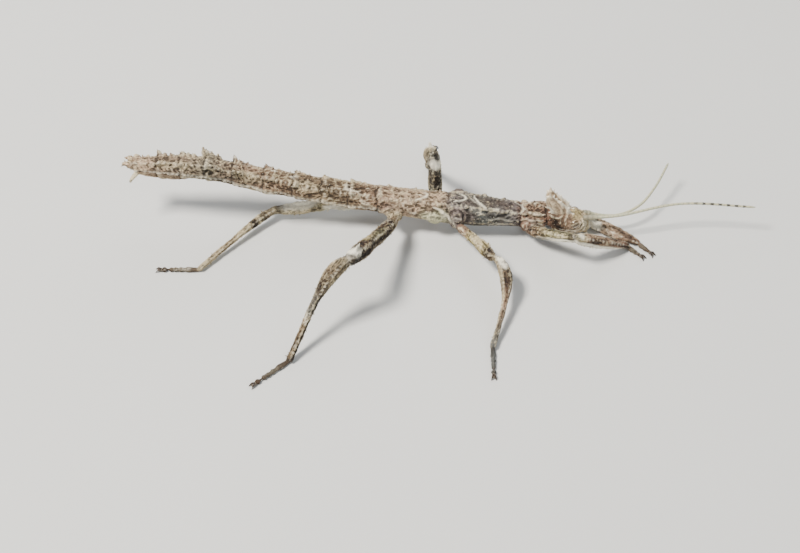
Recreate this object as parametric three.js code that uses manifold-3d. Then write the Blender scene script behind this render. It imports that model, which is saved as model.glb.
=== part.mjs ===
// A stick insect with an antlered head and lobed legs, life size, paused in mid step.
// Millimetres. +X points forward, +Y to the insect's left, +Z up, and the floor is z = 0.
import * as THREE from 'three';
import { mergeVertices } from 'three/addons/utils/BufferGeometryUtils.js';
import Module from 'manifold-3d';

const wasm = await Module();
wasm.setup();

// ---- Driving dimensions -------------------------------------------------------------------------

const TO_RADIANS = Math.PI / 180;
const CUT = 0.28; // width of the thin cut between two nodes
const SIDES = { left: 1, right: -1 };
const BODY_SIDES = 12; // flat faces round the trunk
const LIMB_SIDES = 7; // flat faces round a leg
const TOE_SIDES = 6; // flat faces round a foot
const WELD = 1e-4; // corners closer together than this are joined

// The trunk: where its centre line runs and how wide it is, from the tail tip to the neck.
const TRUNK = {
  x: [-43.4, -38, -31, -20, -8, 4, 12, 18.5, 22.8],
  height: [10.5, 10.8, 10.4, 8.0, 5.9, 4.6, 3.95, 3.6, 3.35],
  halfWidth: [1.15, 1.58, 1.82, 1.98, 2.12, 2.38, 2.48, 2.05, 1.55],
};
const TRUNK_FLATNESS = 0.92; // height of the trunk's section over its width
const NECK_X = 22.8;
const ABDOMEN_JOINTS_X = [-4.4, -8.9, -13.4, -17.8, -22.6, -27.4, -31.9, -35.9, -39.6, -43.4];
const ABDOMEN_SWELL = [1.0, 1.06, 0.97, 0.93]; // radius factors of a ring, from its rear to its front
const ABDOMEN_LOBE_HEIGHTS = [0.45, 0.5, 0.7, 0.9, 1.2, 1.8, 0.9, 1.1, 0.6];

// The paired lobes along the back. Angles are in degrees from the mid line of the back.
const BACK_LOBE = { spread: 34, fan: 4, sink: 0.45, fromRear: 0.85, lean: 0.45, radius: 0.52 };
const TALL_LOBE = { lean: 0.5, radius: 0.18 }; // what each millimetre of height adds
const POINT = { tipRadius: 0.12, sides: 5 }; // a tapered point, where its plan doesn't say otherwise

// The three rings of the thorax: where each runs, its swelling from rear to front, the lobes on its
// back [x, height, lean, radius] and the haunches that its legs grow from [x, angle, radius, height].
const THORAX = {
  metathorax: {
    span: [-4.4, 6.9],
    swell: [0.97, 1.05, 1.04, 0.98, 0.97, 1.03, 0.99],
    lobes: [[-2.2, 0.4, 0.3, 0.5], [2.0, 0.4, 0.3, 0.5], [6.0, 0.4, 0.3, 0.5]],
    haunches: [[-2.5, 88, 1.3, 0.35], [4.9, 96, 1.4, 0.3]],
  },
  mesothorax: {
    span: [6.9, 18.6],
    swell: [0.98, 1.04, 1, 0.96, 1, 1.03, 0.98],
    lobes: [[10.2, 0.4, 0.3, 0.5], [13.2, 0.4, 0.3, 0.5], [16.4, 0.4, 0.3, 0.5]],
    haunches: [[8.5, 70, 1.45, 0.5]],
  },
  pronotum: {
    span: [18.6, NECK_X],
    swell: [1.0, 1.07, 0.98, 1.04, 0.95],
    lobes: [[19.6, 0.35, 0.2, 0.45], [21.7, 0.4, -0.1, 0.45]],
    haunches: [[20.3, 86, 1.1, 0.25]],
  },
};
const HAUNCH_DEPTH = 0.9; // how deep a haunch is rooted in its ring
const HAUNCH_TAPER = 0.6; // its end radius over its base radius

// The keel-shaped plate under the tail.
const OPERCULUM = {
  x: [-43.4, -42.4, -39.5, -36.5, -34.2],
  halfWidth: [0.35, 0.7, 1.0, 1.0, 0.6],
  flatness: 0.7,
  drop: 0.25,
  sides: 10,
  underRings: [6, 7, 8],
};

// Pairs of tapered points, given for the left side.
const TAIL_FORK = { base: [-42.4, 0.5, 10.9], tip: [-45.0, 0.8, 11.3], radius: 0.55, tipRadius: 0.2 };
const CERCUS = { base: [-43.0, 1.2, 9.6], tip: [-43.8, 1.9, 8.5], radius: 0.45, tipRadius: 0.28, sides: 8 };
const NAPE_KNOB = { base: [23.9, 1, 4.2], tip: [23.5, 1.35, 5.0], radius: 0.4, tipRadius: 0.12 };
const FEELER_BOSS = { base: [28.15, 0.6, 3.6], tip: [28.6, 0.66, 4.1], radius: 0.5, tipRadius: 0.3 };
const PALP = { base: [28.9, 0.35, 0.8], tip: [29.65, 0.4, 0.5], radius: 0.28, tipRadius: 0.25 };

const HEAD = {
  x: [22.95, 24.0, 25.4, 26.9, 28.2, 29.0, 29.5],
  height: [3.3, 3.15, 3.0, 2.85, 2.7, 2.55, 2.45],
  halfWidth: [1.25, 1.7, 1.95, 1.85, 1.6, 1.3, 0.85],
  halfHeight: [1.3, 1.85, 2.15, 2.2, 2.0, 1.65, 1.1],
};
const LIPS = [
  { x: 27.8, z: 0.85, halfWidth: 0.7, halfHeight: 0.55 },
  { x: 29.2, z: 1.0, halfWidth: 0.62, halfHeight: 0.65 },
  { x: 29.9, z: 1.3, halfWidth: 0.28, halfHeight: 0.34 },
];
const LIP_SIDES = 10;
const EYE = { x: 27.3, y: 1.28, z: 3.5, radius: 0.82, socket: 0.12, around: 12, down: 8 };

// The antlered crest, seen from the side: x along the head, z above the floor.
const CREST_OUTLINE = [
  [28.0, 3.9], [26.8, 5.1], [25.8, 6.8], [24.9, 7.55], [24.5, 7.5], [24.2, 8.5], [23.9, 8.1],
  [23.6, 9.2], [23.1, 9.7], [22.5, 8.7], [22.25, 7.6], [22.5, 6.3], [23.1, 5.6], [23.7, 3.9],
];
const CREST = { thickness: 0.6, baseY: 0.52, pivotZ: 4.2, splay: 1 };

const ANTENNA = { radius: 0.28, steps: 16, curveSegments: 3 };
const SCAPE = { share: 0.3, radius: 0.46, endRadius: 0.4, sides: 8 };
const ANTENNAE = {
  right: [[28.6, -0.66, 4.2], [34.0, -0.3, 4.7], [44.0, 2.0, 5.8], [56.0, 2.2, 5.7]],
  left: [[28.6, 0.66, 4.0], [34.0, 1.0, 3.4], [37.6, 3.1, 3.6], [40.2, 6.9, 4.0], [42.4, 11.6, 5.0]],
};

const COXA = { rootAngle: 118, setBack: 0.2, sink: 0.3, reach: 0.12, radius: 1.25, endRadius: 0.85 };
const KNEE_GAP = 0.3; // a femur stops this far short of its knee
const ANKLE_GAP = 0.1;
const LIMB_FLATNESS = 0.95; // width over depth of a limb's section
const BOW_SKEW = 0.58; // below 1, a limb bows most nearer its base
const ANKLE_HEIGHT = 0.62; // of a shin's end above the floor
const FLOOR_SKIM = 0.02; // how far a shin's end stays above the floor
// A lobe's plate: its peak lies behind its middle, and its edges sweep up to it.
const LEAF = {
  thickness: 0.55,
  root: 0.85,
  rearSweep: 0.42,
  rearRise: 0.8,
  peak: 0.1,
  frontSweep: 0.25,
  frontRise: 0.85,
  curveSegments: 2,
};

// A foot: half thickness at its base, joints and waists, and how far along each joint is widest.
// Its centre line is low enough to flatten its sole.
const TOE = { base: 0.3, half: 0.46, waist: 0.34, widest: 0.7, height: 0.34 };
const FOOT_JOINTS = [0.4, 0.56, 0.69, 0.8, 1]; // where the five joints of a foot end
const CLAW = { length: 1.0, radius: 0.27, tipRadius: 0.14, tipHeight: 0.16, spread: 26, sides: 4 };
const CLAW_PAD = { radius: 0.38, forward: 0.2 };
const FLOOR_BLOCK = { width: 60, depth: 10 };

// Half thickness along a limb: [share of its length, half thickness].
const FEMUR_PROFILE = [
  [0, 0.55], [0.1, 0.72], [0.35, 0.75], [0.62, 0.9], [0.76, 1.05], [0.9, 0.85], [1, 0.7],
];
const TIBIA_PROFILE = [
  [0, 0.65], [0.07, 0.92], [0.2, 1.05], [0.33, 0.9], [0.45, 0.6], [0.65, 0.48], [0.9, 0.46], [1, 0.5],
];
const BROAD_FEMUR_PROFILE = [
  [0, 0.75], [0.1, 1.0], [0.35, 1.05], [0.62, 1.0], [0.76, 1.05], [0.9, 0.9], [1, 0.7],
];
const HIND_FEMUR_PROFILE = [
  [0, 0.55], [0.1, 0.78], [0.35, 0.95], [0.62, 1.05], [0.76, 1.15], [0.9, 1.05], [1, 0.85],
];
const HIND_TIBIA_PROFILE = [
  [0, 0.8], [0.07, 1.05], [0.18, 1.12], [0.3, 0.9], [0.42, 0.6], [0.65, 0.48], [0.9, 0.46], [1, 0.5],
];
const SLIM_FEMUR_PROFILE = [
  [0, 0.45], [0.1, 0.55], [0.3, 0.6], [0.5, 0.65], [0.76, 0.9], [0.9, 0.8], [1, 0.6],
];
const SLIM_TIBIA_PROFILE = [[0, 0.5], [0.08, 0.62], [0.3, 0.6], [0.45, 0.42], [0.7, 0.38], [1, 0.42]];
const BLADE_FEMUR_PROFILE = [[0, 0.55], [0.15, 0.8], [0.4, 0.88], [0.7, 0.86], [0.9, 0.8], [1, 0.7]];
const BLADE_TIBIA_PROFILE = [[0, 0.7], [0.1, 0.92], [0.35, 1.0], [0.6, 0.92], [0.8, 0.72], [1, 0.45]];

// Lobes on the limbs: share of the limb's length, length, height beyond the limb, and the roll
// about the limb, where 0 stands on its upper edge, 90 on its left and 180 on its lower edge.
const FRONT_SHAPE = {
  femurProfile: BLADE_FEMUR_PROFILE,
  tibiaProfile: BLADE_TIBIA_PROFILE,
  femurLobes: [[0.5, 1.6, 0.3, 180], [0.8, 1.8, 0.35, 0]],
  tibiaLobes: [[0.3, 2.0, 0.25, 200], [0.62, 1.2, 0.45, 50]],
};
const MIDDLE_SHAPE = {
  femurProfile: FEMUR_PROFILE,
  tibiaProfile: TIBIA_PROFILE,
  femurLobes: [[0.3, 1.6, 0.45, 0], [0.72, 2.2, 0.55, 0], [0.7, 2.0, 0.5, 130]],
  tibiaLobes: [[0.09, 1.7, 1.1, 0], [0.22, 3.2, 0.55, 180], [0.36, 1.4, 0.5, 0], [0.62, 0.9, 0.35, 0]],
};
const HIND_SHAPE = {
  femurProfile: HIND_FEMUR_PROFILE,
  tibiaProfile: HIND_TIBIA_PROFILE,
  femurLobes: [
    [0.28, 2.0, 0.5, 0], [0.46, 2.2, 0.55, 20], [0.62, 2.0, 0.6, -20],
    [0.91, 2.6, 1.4, 0], [0.8, 2.2, 0.6, 180],
  ],
  tibiaLobes: [[0.13, 2.2, 0.8, 0], [0.2, 3.6, 0.7, 180], [0.33, 1.8, 0.6, 0], [0.55, 1.1, 0.45, 0]],
};
const SLIM_HIND_SHAPE = {
  femurProfile: SLIM_FEMUR_PROFILE,
  tibiaProfile: SLIM_TIBIA_PROFILE,
  femurLobes: [[0.4, 5.2, 0.6, 105], [0.8, 5.0, 1.0, 0], [0.86, 1.4, 0.8, 170], [0.94, 1.2, 0.6, 190]],
  tibiaLobes: [[0.12, 1.6, 0.35, 0], [0.28, 1.6, 0.3, 0]],
};

// Legs: the hip, then lengths, headings in degrees from straight ahead (+ to the left), the femur's
// rise, and how far each limb bows towards its own left.
const LEGS = {
  front_right: {
    side: 'right', shape: FRONT_SHAPE, scale: 1.0, hip: [19.9, -2.3, 2.6],
    femur: 9.4, femurHeading: -30.6, femurRise: 21.5, femurBow: -0.3,
    tibia: 10.9, tibiaHeading: 23, tibiaBow: 0, foot: 2.4, footHeading: -39,
  },
  front_left: {
    side: 'left', shape: FRONT_SHAPE, scale: 0.75, flatness: 1.5, hip: [19.7, 2.8, 2.3],
    femur: 9.8, femurHeading: -4.1, femurRise: -5.9, femurBow: 0.8,
    tibia: 9.4, tibiaHeading: -27, tibiaBow: -0.3, foot: 2.4, footHeading: -43,
  },
  middle_right: {
    side: 'right', shape: MIDDLE_SHAPE, scale: 1.0, hip: [8.6, -2.8, 3.0],
    femur: 9.7, femurHeading: -52, femurRise: 10, femurBow: 0.2,
    tibia: 15.2, tibiaHeading: -87, tibiaBow: 2.2, foot: 5.0, footHeading: -86,
  },
  middle_left: {
    side: 'left', shape: { ...MIDDLE_SHAPE, femurProfile: BROAD_FEMUR_PROFILE }, scale: 1.05,
    hip: [4.55, 3.2, 3.7],
    femur: 9.55, femurHeading: 118.5, femurRise: 86, femurBow: -0.2,
    tibia: 15.3, tibiaHeading: 98, tibiaBow: 0.4, foot: 4.2, footHeading: 80,
  },
  hind_right: {
    side: 'right', shape: HIND_SHAPE, scale: 1.15, hip: [-1.4, -2.9, 4.1],
    femur: 18.6, femurHeading: -110, femurRise: 25, femurBow: 0.3,
    tibia: 17.8, tibiaHeading: -128, tibiaBow: -1.5, foot: 6.6, footHeading: -135,
  },
  hind_left: {
    side: 'left', shape: SLIM_HIND_SHAPE, scale: 1.12, hip: [-2.6, 2.4, 2.4],
    femur: 18.6, femurHeading: -171, femurRise: -1, femurBow: -0.3,
    tibia: 16.2, tibiaHeading: -132, tibiaBow: -0.5, foot: 6.0, footHeading: -176,
  },
};

const bark = (color, roughness = 0.8) => new THREE.MeshStandardMaterial({ color, roughness, metalness: 0 });
const MATERIAL = {
  abdomen: () => bark(0x9a8268),
  thorax: () => bark(0x7d6f68),
  pronotum: () => bark(0x8f6a58),
  head: () => bark(0x8c745a),
  crest: () => bark(0xb89478),
  leg: () => bark(0x85705a),
  foot: () => bark(0x6c6258),
  antenna: () => bark(0xa8a078, 0.6),
  claw: () => bark(0x3a2c22, 0.4),
  eye: () => bark(0x4a3a28, 0.2),
};

// ---- Solids -------------------------------------------------------------------------------------

/** Joins a geometry's shared corners, drops its flat slivers and turns its faces outward. */
function closed(geometry) {
  const bare = geometry.clone();
  bare.deleteAttribute('normal');
  bare.deleteAttribute('uv');
  const merged = mergeVertices(bare, WELD);
  const corners = merged.attributes.position;
  const at = (index) => new THREE.Vector3().fromBufferAttribute(corners, index);
  const kept = [];
  let volume = 0;
  for (let i = 0; i < merged.index.count; i += 3) {
    const [a, b, c] = [0, 1, 2].map((offset) => merged.index.getX(i + offset));
    if (a !== b && b !== c && c !== a) {
      kept.push([a, b, c]);
      volume += at(a).dot(at(b).cross(at(c)));
    }
  }
  merged.setIndex(kept.flatMap(([a, b, c]) => (volume > 0 ? [a, b, c] : [a, c, b])));
  return merged;
}

function toSolid(geometry) {
  const mesh = closed(geometry);
  return new wasm.Manifold(new wasm.Mesh({
    numProp: 3,
    vertProperties: new Float32Array(mesh.attributes.position.array),
    triVerts: new Uint32Array(mesh.index.array),
  }));
}

function toGeometry(solid) {
  const mesh = solid.getMesh();
  const geometry = new THREE.BufferGeometry();
  geometry.setAttribute('position', new THREE.BufferAttribute(new Float32Array(mesh.vertProperties), 3));
  geometry.setIndex([...mesh.triVerts]);
  geometry.computeVertexNormals();
  return geometry;
}

/** Joins several geometries into one. */
function joined(parts) {
  const [first, ...rest] = parts.map(toSolid);
  return toGeometry(rest.reduce((whole, part) => whole.add(part), first));
}

/** Cuts every tool away from a geometry and keeps the largest piece that is left. */
function carved(geometry, tools) {
  const left = tools.reduce((whole, tool) => whole.subtract(toSolid(tool)), toSolid(geometry));
  const [largest] = left.decompose().sort((one, other) => other.volume() - one.volume());
  return toGeometry(largest);
}

/** Wraps a closed surface over elliptical sections that lie across X, from first to last. */
function loft(sections, sides) {
  const last = sections.length - 1;
  const profile = [new THREE.Vector2(0, 0)];
  sections.forEach((section, index) => profile.push(new THREE.Vector2(1, index)));
  profile.push(new THREE.Vector2(0, last));
  const geometry = new THREE.LatheGeometry(profile, sides);
  const corner = geometry.attributes.position;
  for (let i = 0; i < corner.count; i += 1) {
    const section = sections[Math.round(corner.getY(i))];
    const y = (section.y ?? 0) + corner.getZ(i) * section.halfWidth;
    const z = section.z + corner.getX(i) * section.halfHeight;
    corner.setXYZ(i, section.x, y, z);
  }
  return geometry;
}

/** A smooth curve through (xs, values), read at x. */
function smooth(xs, values, x) {
  return new THREE.CubicInterpolant(xs, values, 1).evaluate(x)[0];
}

/** A round cone from one point to another. */
function spike(base, tip, radius, tipRadius = POINT.tipRadius, sides = POINT.sides) {
  const axis = new THREE.Vector3().subVectors(tip, base);
  const cone = new THREE.CylinderGeometry(tipRadius, radius, axis.length(), sides);
  cone.translate(0, axis.length() / 2, 0);
  const up = new THREE.Vector3(0, 1, 0);
  const turn = new THREE.Quaternion().setFromUnitVectors(up, axis.clone().normalize());
  return cone.applyQuaternion(turn).translate(base.x, base.y, base.z);
}

/** Names a geometry's mesh and puts its origin at a joint, turned by that joint's rotation. */
function placed(name, geometry, material, origin, rotation = new THREE.Euler()) {
  const mesh = new THREE.Mesh(geometry, material);
  mesh.name = name;
  mesh.position.copy(origin);
  mesh.rotation.copy(rotation);
  return mesh;
}

/** A point given for the left side, mirrored for the right when side is -1. */
const mirrored = ([x, y, z], side) => new THREE.Vector3(x, side * y, z);

/** One of a pair of tapered points, swollen all round by grow. */
function pairedSpike(plan, side, grow = 0) {
  const base = mirrored(plan.base, side);
  const tip = mirrored(plan.tip, side).lerp(base, -grow);
  return spike(base, tip, plan.radius + grow, plan.tipRadius + grow, plan.sides);
}

const bothSides = (make) => Object.values(SIDES).flatMap((side) => make(side));

const matrixOf = (origin, rotation) => new THREE.Matrix4()
  .compose(origin, new THREE.Quaternion().setFromEuler(rotation), new THREE.Vector3(1, 1, 1));

// ---- Trunk --------------------------------------------------------------------------------------

const trunkHeight = (x) => smooth(TRUNK.x, TRUNK.height, x);
const trunkHalfWidth = (x) => smooth(TRUNK.x, TRUNK.halfWidth, x);

/** One ring of the trunk. Its swell list gives the radius factors from its rear to its front. */
function trunkRing(rearX, frontX, swell, grow = 0) {
  const sections = swell.map((factor, index) => {
    const share = index / (swell.length - 1);
    const x = THREE.MathUtils.lerp(rearX - grow, frontX + grow, share);
    const halfWidth = trunkHalfWidth(THREE.MathUtils.clamp(x, rearX, frontX)) * factor + grow;
    return { x, z: trunkHeight(x), halfWidth, halfHeight: halfWidth * TRUNK_FLATNESS };
  });
  return loft(sections, BODY_SIDES);
}

/** A point on the trunk's skin at x, turned from the top by an angle (+ to the left), lifted by out. */
function onTrunk(x, angle, out) {
  const radius = trunkHalfWidth(x) + out;
  const turn = angle * TO_RADIANS;
  const z = trunkHeight(x) + radius * TRUNK_FLATNESS * Math.cos(turn);
  return new THREE.Vector3(x, radius * Math.sin(turn), z);
}

/** Paired lobes on the back at x that lean towards the tail. */
function backLobes([x, height, lean, radius]) {
  return bothSides((side) => spike(
    onTrunk(x, side * BACK_LOBE.spread, -BACK_LOBE.sink),
    onTrunk(x - lean, side * (BACK_LOBE.spread + BACK_LOBE.fan), height),
    radius,
  ));
}

/** The swellings on both sides that a pair of legs grows from. */
function haunches([x, angle, radius, height], grow) {
  return bothSides((side) => spike(
    onTrunk(x, side * angle, -HAUNCH_DEPTH),
    onTrunk(x, side * angle, height + grow),
    radius + grow,
    radius * HAUNCH_TAPER + grow,
    LIMB_SIDES,
  ));
}

/** One ring of the thorax. Grown, it is the tool that cuts the legs free of it. */
function thoraxRing(name, grow = 0) {
  const { span: [rearX, frontX], swell, lobes, haunches: plans } = THORAX[name];
  const inset = grow > 0 ? 0 : CUT / 2;
  return joined([
    trunkRing(rearX + inset, frontX - inset, swell, grow),
    ...lobes.flatMap(backLobes),
    ...plans.flatMap((plan) => haunches(plan, grow)),
  ]);
}

/** A ring of the abdomen, grown to cut what lies against it. */
const grownRing = (index) => trunkRing(
  ABDOMEN_JOINTS_X[index + 1],
  ABDOMEN_JOINTS_X[index],
  ABDOMEN_SWELL,
  CUT,
);

function abdomenSegment(index) {
  const frontX = ABDOMEN_JOINTS_X[index] - CUT / 2;
  const rearX = ABDOMEN_JOINTS_X[index + 1] + CUT / 2;
  const height = ABDOMEN_LOBE_HEIGHTS[index];
  const lean = BACK_LOBE.lean + height * TALL_LOBE.lean;
  const radius = BACK_LOBE.radius + height * TALL_LOBE.radius;
  const parts = [
    trunkRing(rearX, frontX, ABDOMEN_SWELL),
    ...backLobes([rearX + BACK_LOBE.fromRear, height, lean, radius]),
  ];
  if (index === ABDOMEN_LOBE_HEIGHTS.length - 1) {
    parts.push(...bothSides((side) => pairedSpike(TAIL_FORK, side)));
  }
  return joined(parts);
}

function operculum() {
  const sections = OPERCULUM.x.map((x, index) => {
    const halfWidth = OPERCULUM.halfWidth[index];
    const belly = trunkHeight(x) - trunkHalfWidth(x) * TRUNK_FLATNESS;
    const halfHeight = halfWidth * OPERCULUM.flatness;
    return { x, z: belly - OPERCULUM.drop, halfWidth, halfHeight };
  });
  return carved(loft(sections, OPERCULUM.sides), OPERCULUM.underRings.map(grownRing));
}

function cercus(side) {
  const lastRing = grownRing(ABDOMEN_LOBE_HEIGHTS.length - 1);
  return carved(pairedSpike(CERCUS, side), [lastRing, operculum()]);
}

// ---- Head ---------------------------------------------------------------------------------------

function headCapsule(grow = 0) {
  const last = HEAD.x.length - 1;
  const sections = HEAD.x.map((x, index) => ({
    x: x + (index === 0 ? -grow : 0) + (index === last ? grow : 0),
    z: HEAD.height[index],
    halfWidth: HEAD.halfWidth[index] + grow,
    halfHeight: HEAD.halfHeight[index] + grow,
  }));
  return loft(sections, BODY_SIDES);
}

/** The knobs on the back of the head and the bosses that the feelers grow from. */
function headBumps(grow = 0) {
  return bothSides((side) => [NAPE_KNOB, FEELER_BOSS].map((plan) => pairedSpike(plan, side, grow)));
}

function eyeball(side, grow = 0) {
  const ball = new THREE.SphereGeometry(EYE.radius + grow, EYE.around, EYE.down);
  return ball.translate(EYE.x, side * EYE.y, EYE.z);
}

function mouthparts() {
  const palps = bothSides((side) => pairedSpike(PALP, side));
  return carved(joined([loft(LIPS, LIP_SIDES), ...palps]), [headCapsule(CUT)]);
}

function crest(side) {
  const outline = new THREE.Shape(CREST_OUTLINE.map(([x, z]) => new THREE.Vector2(x, z - CREST.pivotZ)));
  const blade = new THREE.ExtrudeGeometry(outline, { depth: CREST.thickness, bevelEnabled: false });
  blade.translate(0, 0, -CREST.thickness / 2);
  blade.rotateX(Math.PI / 2 - side * CREST.splay * TO_RADIANS);
  blade.translate(0, side * CREST.baseY, CREST.pivotZ);
  return carved(blade, [headCapsule(CUT), eyeball(side, CUT), ...headBumps(CUT)]);
}

function antenna(side) {
  const points = ANTENNAE[side].map(([x, y, z]) => new THREE.Vector3(x, y, z));
  const section = new THREE.Shape().absarc(0, 0, ANTENNA.radius, 0, 2 * Math.PI);
  const feeler = new THREE.ExtrudeGeometry(section, {
    steps: ANTENNA.steps,
    curveSegments: ANTENNA.curveSegments,
    bevelEnabled: false,
    extrudePath: new THREE.CatmullRomCurve3(points),
  });
  const [root, next] = points;
  const scapeEnd = root.clone().lerp(next, SCAPE.share);
  const scape = spike(root, scapeEnd, SCAPE.radius, SCAPE.endRadius, SCAPE.sides);
  const eyes = bothSides((eyeSide) => eyeball(eyeSide, CUT));
  return carved(joined([feeler, scape]), [headCapsule(CUT), ...headBumps(CUT), ...eyes]);
}

function head() {
  const sockets = bothSides((side) => eyeball(side, EYE.socket));
  return carved(joined([headCapsule(), ...headBumps()]), sockets);
}

// ---- Legs ---------------------------------------------------------------------------------------

const turned = (heading, rise) => new THREE.Euler(0, -rise * TO_RADIANS, heading * TO_RADIANS, 'ZYX');

/** How far a bowed limb strays at a share of its length: most near a third of the way along. */
const bowAt = (share) => Math.sin(Math.PI * share ** BOW_SKEW);

/** A limb's round body along local X, with its depth along Z, bowed to the left by bow. */
function limbBody(length, profile, { scale, flatness = LIMB_FLATNESS }, bow, grow = 0) {
  const last = profile.length - 1;
  const sections = profile.map(([share, half], index) => {
    const endShift = (index === last ? grow : 0) - (index === 0 ? grow : 0);
    const depth = half * scale;
    return {
      x: share * length + endShift,
      y: bow * bowAt(share),
      z: 0,
      halfWidth: depth * flatness + grow,
      halfHeight: depth + grow,
    };
  });
  return loft(sections, LIMB_SIDES);
}

/** A leaf-like lobe that stands out of a limb at a share of its length. */
function limbLobe(limbLength, scale, bow, [share, length, height, roll]) {
  const reach = LEAF.root * scale + height;
  const leaf = new THREE.Shape();
  leaf.moveTo(-length / 2, 0);
  leaf.quadraticCurveTo(-length * LEAF.rearSweep, reach * LEAF.rearRise, -length * LEAF.peak, reach);
  leaf.quadraticCurveTo(length * LEAF.frontSweep, reach * LEAF.frontRise, length / 2, 0);
  const plate = new THREE.ExtrudeGeometry(leaf, {
    depth: LEAF.thickness,
    bevelEnabled: false,
    curveSegments: LEAF.curveSegments,
  });
  plate.translate(0, 0, -LEAF.thickness / 2);
  plate.rotateX(Math.PI / 2 - roll * TO_RADIANS);
  return plate.translate(share * limbLength, bow * bowAt(share), 0);
}

function foot(length) {
  const sections = [{ x: 0, half: TOE.base }];
  let start = 0;
  FOOT_JOINTS.forEach((end) => {
    sections.push({ x: (start + TOE.widest * (end - start)) * length, half: TOE.half });
    sections.push({ x: end * length, half: TOE.waist });
    start = end;
  });
  const rings = sections.map(({ x, half }) => ({
    x, z: TOE.height, halfWidth: half, halfHeight: half,
  }));
  return loft(rings, TOE_SIDES);
}

/** A block whose top is at a height and which stands under a point. */
function floorBlock(under, height = 0) {
  const { width, depth } = FLOOR_BLOCK;
  return new THREE.BoxGeometry(width, width, depth).translate(under.x, under.y, height - depth / 2);
}

function claws(length) {
  const root = new THREE.Vector3(length + CUT + CLAW_PAD.forward, 0, TOE.height);
  const pad = new THREE.OctahedronGeometry(CLAW_PAD.radius).translate(root.x, root.y, root.z);
  const hooks = bothSides((side) => {
    const spread = side * CLAW.spread * TO_RADIANS;
    const reach = new THREE.Vector2(CLAW.length, 0).rotateAround(new THREE.Vector2(), spread);
    const tip = new THREE.Vector3(root.x + reach.x, reach.y, CLAW.tipHeight);
    return spike(root, tip, CLAW.radius, CLAW.tipRadius, CLAW.sides);
  });
  return joined([pad, ...hooks]);
}

/** Builds one leg: coxa, femur, tibia, foot and claws, each its own mesh. */
function leg(name, plan) {
  const { scale, shape } = plan;
  const hip = new THREE.Vector3(...plan.hip);
  const root = onTrunk(plan.hip[0] - COXA.setBack, SIDES[plan.side] * COXA.rootAngle, -COXA.sink);
  const femurTurn = turned(plan.femurHeading, plan.femurRise);
  const femurPlace = matrixOf(hip, femurTurn);
  const knee = new THREE.Vector3(plan.femur, 0, 0).applyMatrix4(femurPlace);
  const drop = Math.asin((knee.z - ANKLE_HEIGHT) / plan.tibia) / TO_RADIANS;
  const tibiaTurn = turned(plan.tibiaHeading, -drop);
  const tibiaPlace = matrixOf(knee, tibiaTurn);
  const ankle = new THREE.Vector3(plan.tibia, 0, 0).applyMatrix4(tibiaPlace);
  const footTurn = turned(plan.footHeading, 0);
  const footOrigin = new THREE.Vector3(ankle.x, ankle.y, 0);
  const footPlace = matrixOf(footOrigin, footTurn);
  const into = (geometry, place) => geometry.applyMatrix4(place.clone().invert());

  const coxaAxis = hip.clone().sub(root).normalize();
  const coxaBody = (grow) => spike(
    root,
    hip.clone().lerp(root, -COXA.reach).addScaledVector(coxaAxis, grow),
    COXA.radius * scale + grow,
    COXA.endRadius * scale + grow,
    LIMB_SIDES,
  );
  const thorax = () => Object.keys(THORAX).map((ring) => thoraxRing(ring, CUT));
  const femurBody = (grow) => {
    const length = plan.femur - KNEE_GAP;
    return limbBody(length, shape.femurProfile, plan, plan.femurBow, grow);
  };
  const tibiaBody = (grow) => {
    const length = plan.tibia - ANKLE_GAP;
    return limbBody(length, shape.tibiaProfile, plan, plan.tibiaBow, grow);
  };
  const withLobes = (body, length, bow, lobes) => joined([
    body,
    ...lobes.map((lobe) => limbLobe(length, scale, bow, lobe)),
  ]);

  const coxa = carved(coxaBody(0), thorax());
  coxa.translate(-hip.x, -hip.y, -hip.z);
  const femur = carved(
    withLobes(femurBody(0), plan.femur, plan.femurBow, shape.femurLobes),
    [coxaBody(CUT), ...thorax()].map((tool) => into(tool, femurPlace)),
  );
  const tibia = carved(withLobes(tibiaBody(0), plan.tibia, plan.tibiaBow, shape.tibiaLobes), [
    into(femurBody(CUT).applyMatrix4(femurPlace), tibiaPlace),
    into(floorBlock(ankle, FLOOR_SKIM), tibiaPlace),
  ]);
  const shin = into(tibiaBody(CUT).applyMatrix4(tibiaPlace), footPlace);
  const floor = floorBlock(new THREE.Vector3());
  const sole = carved(foot(plan.foot), [shin, floor]);
  const hooks = carved(claws(plan.foot), [floor]);
  return [
    placed(`coxa_${name}`, coxa, MATERIAL.leg(), hip),
    placed(`femur_${name}`, femur, MATERIAL.leg(), hip, femurTurn),
    placed(`tibia_${name}`, tibia, MATERIAL.leg(), knee, tibiaTurn),
    placed(`foot_${name}`, sole, MATERIAL.foot(), footOrigin, footTurn),
    placed(`claws_${name}`, hooks, MATERIAL.claw(), footOrigin, footTurn),
  ];
}

// ---- Assembly -----------------------------------------------------------------------------------

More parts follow.
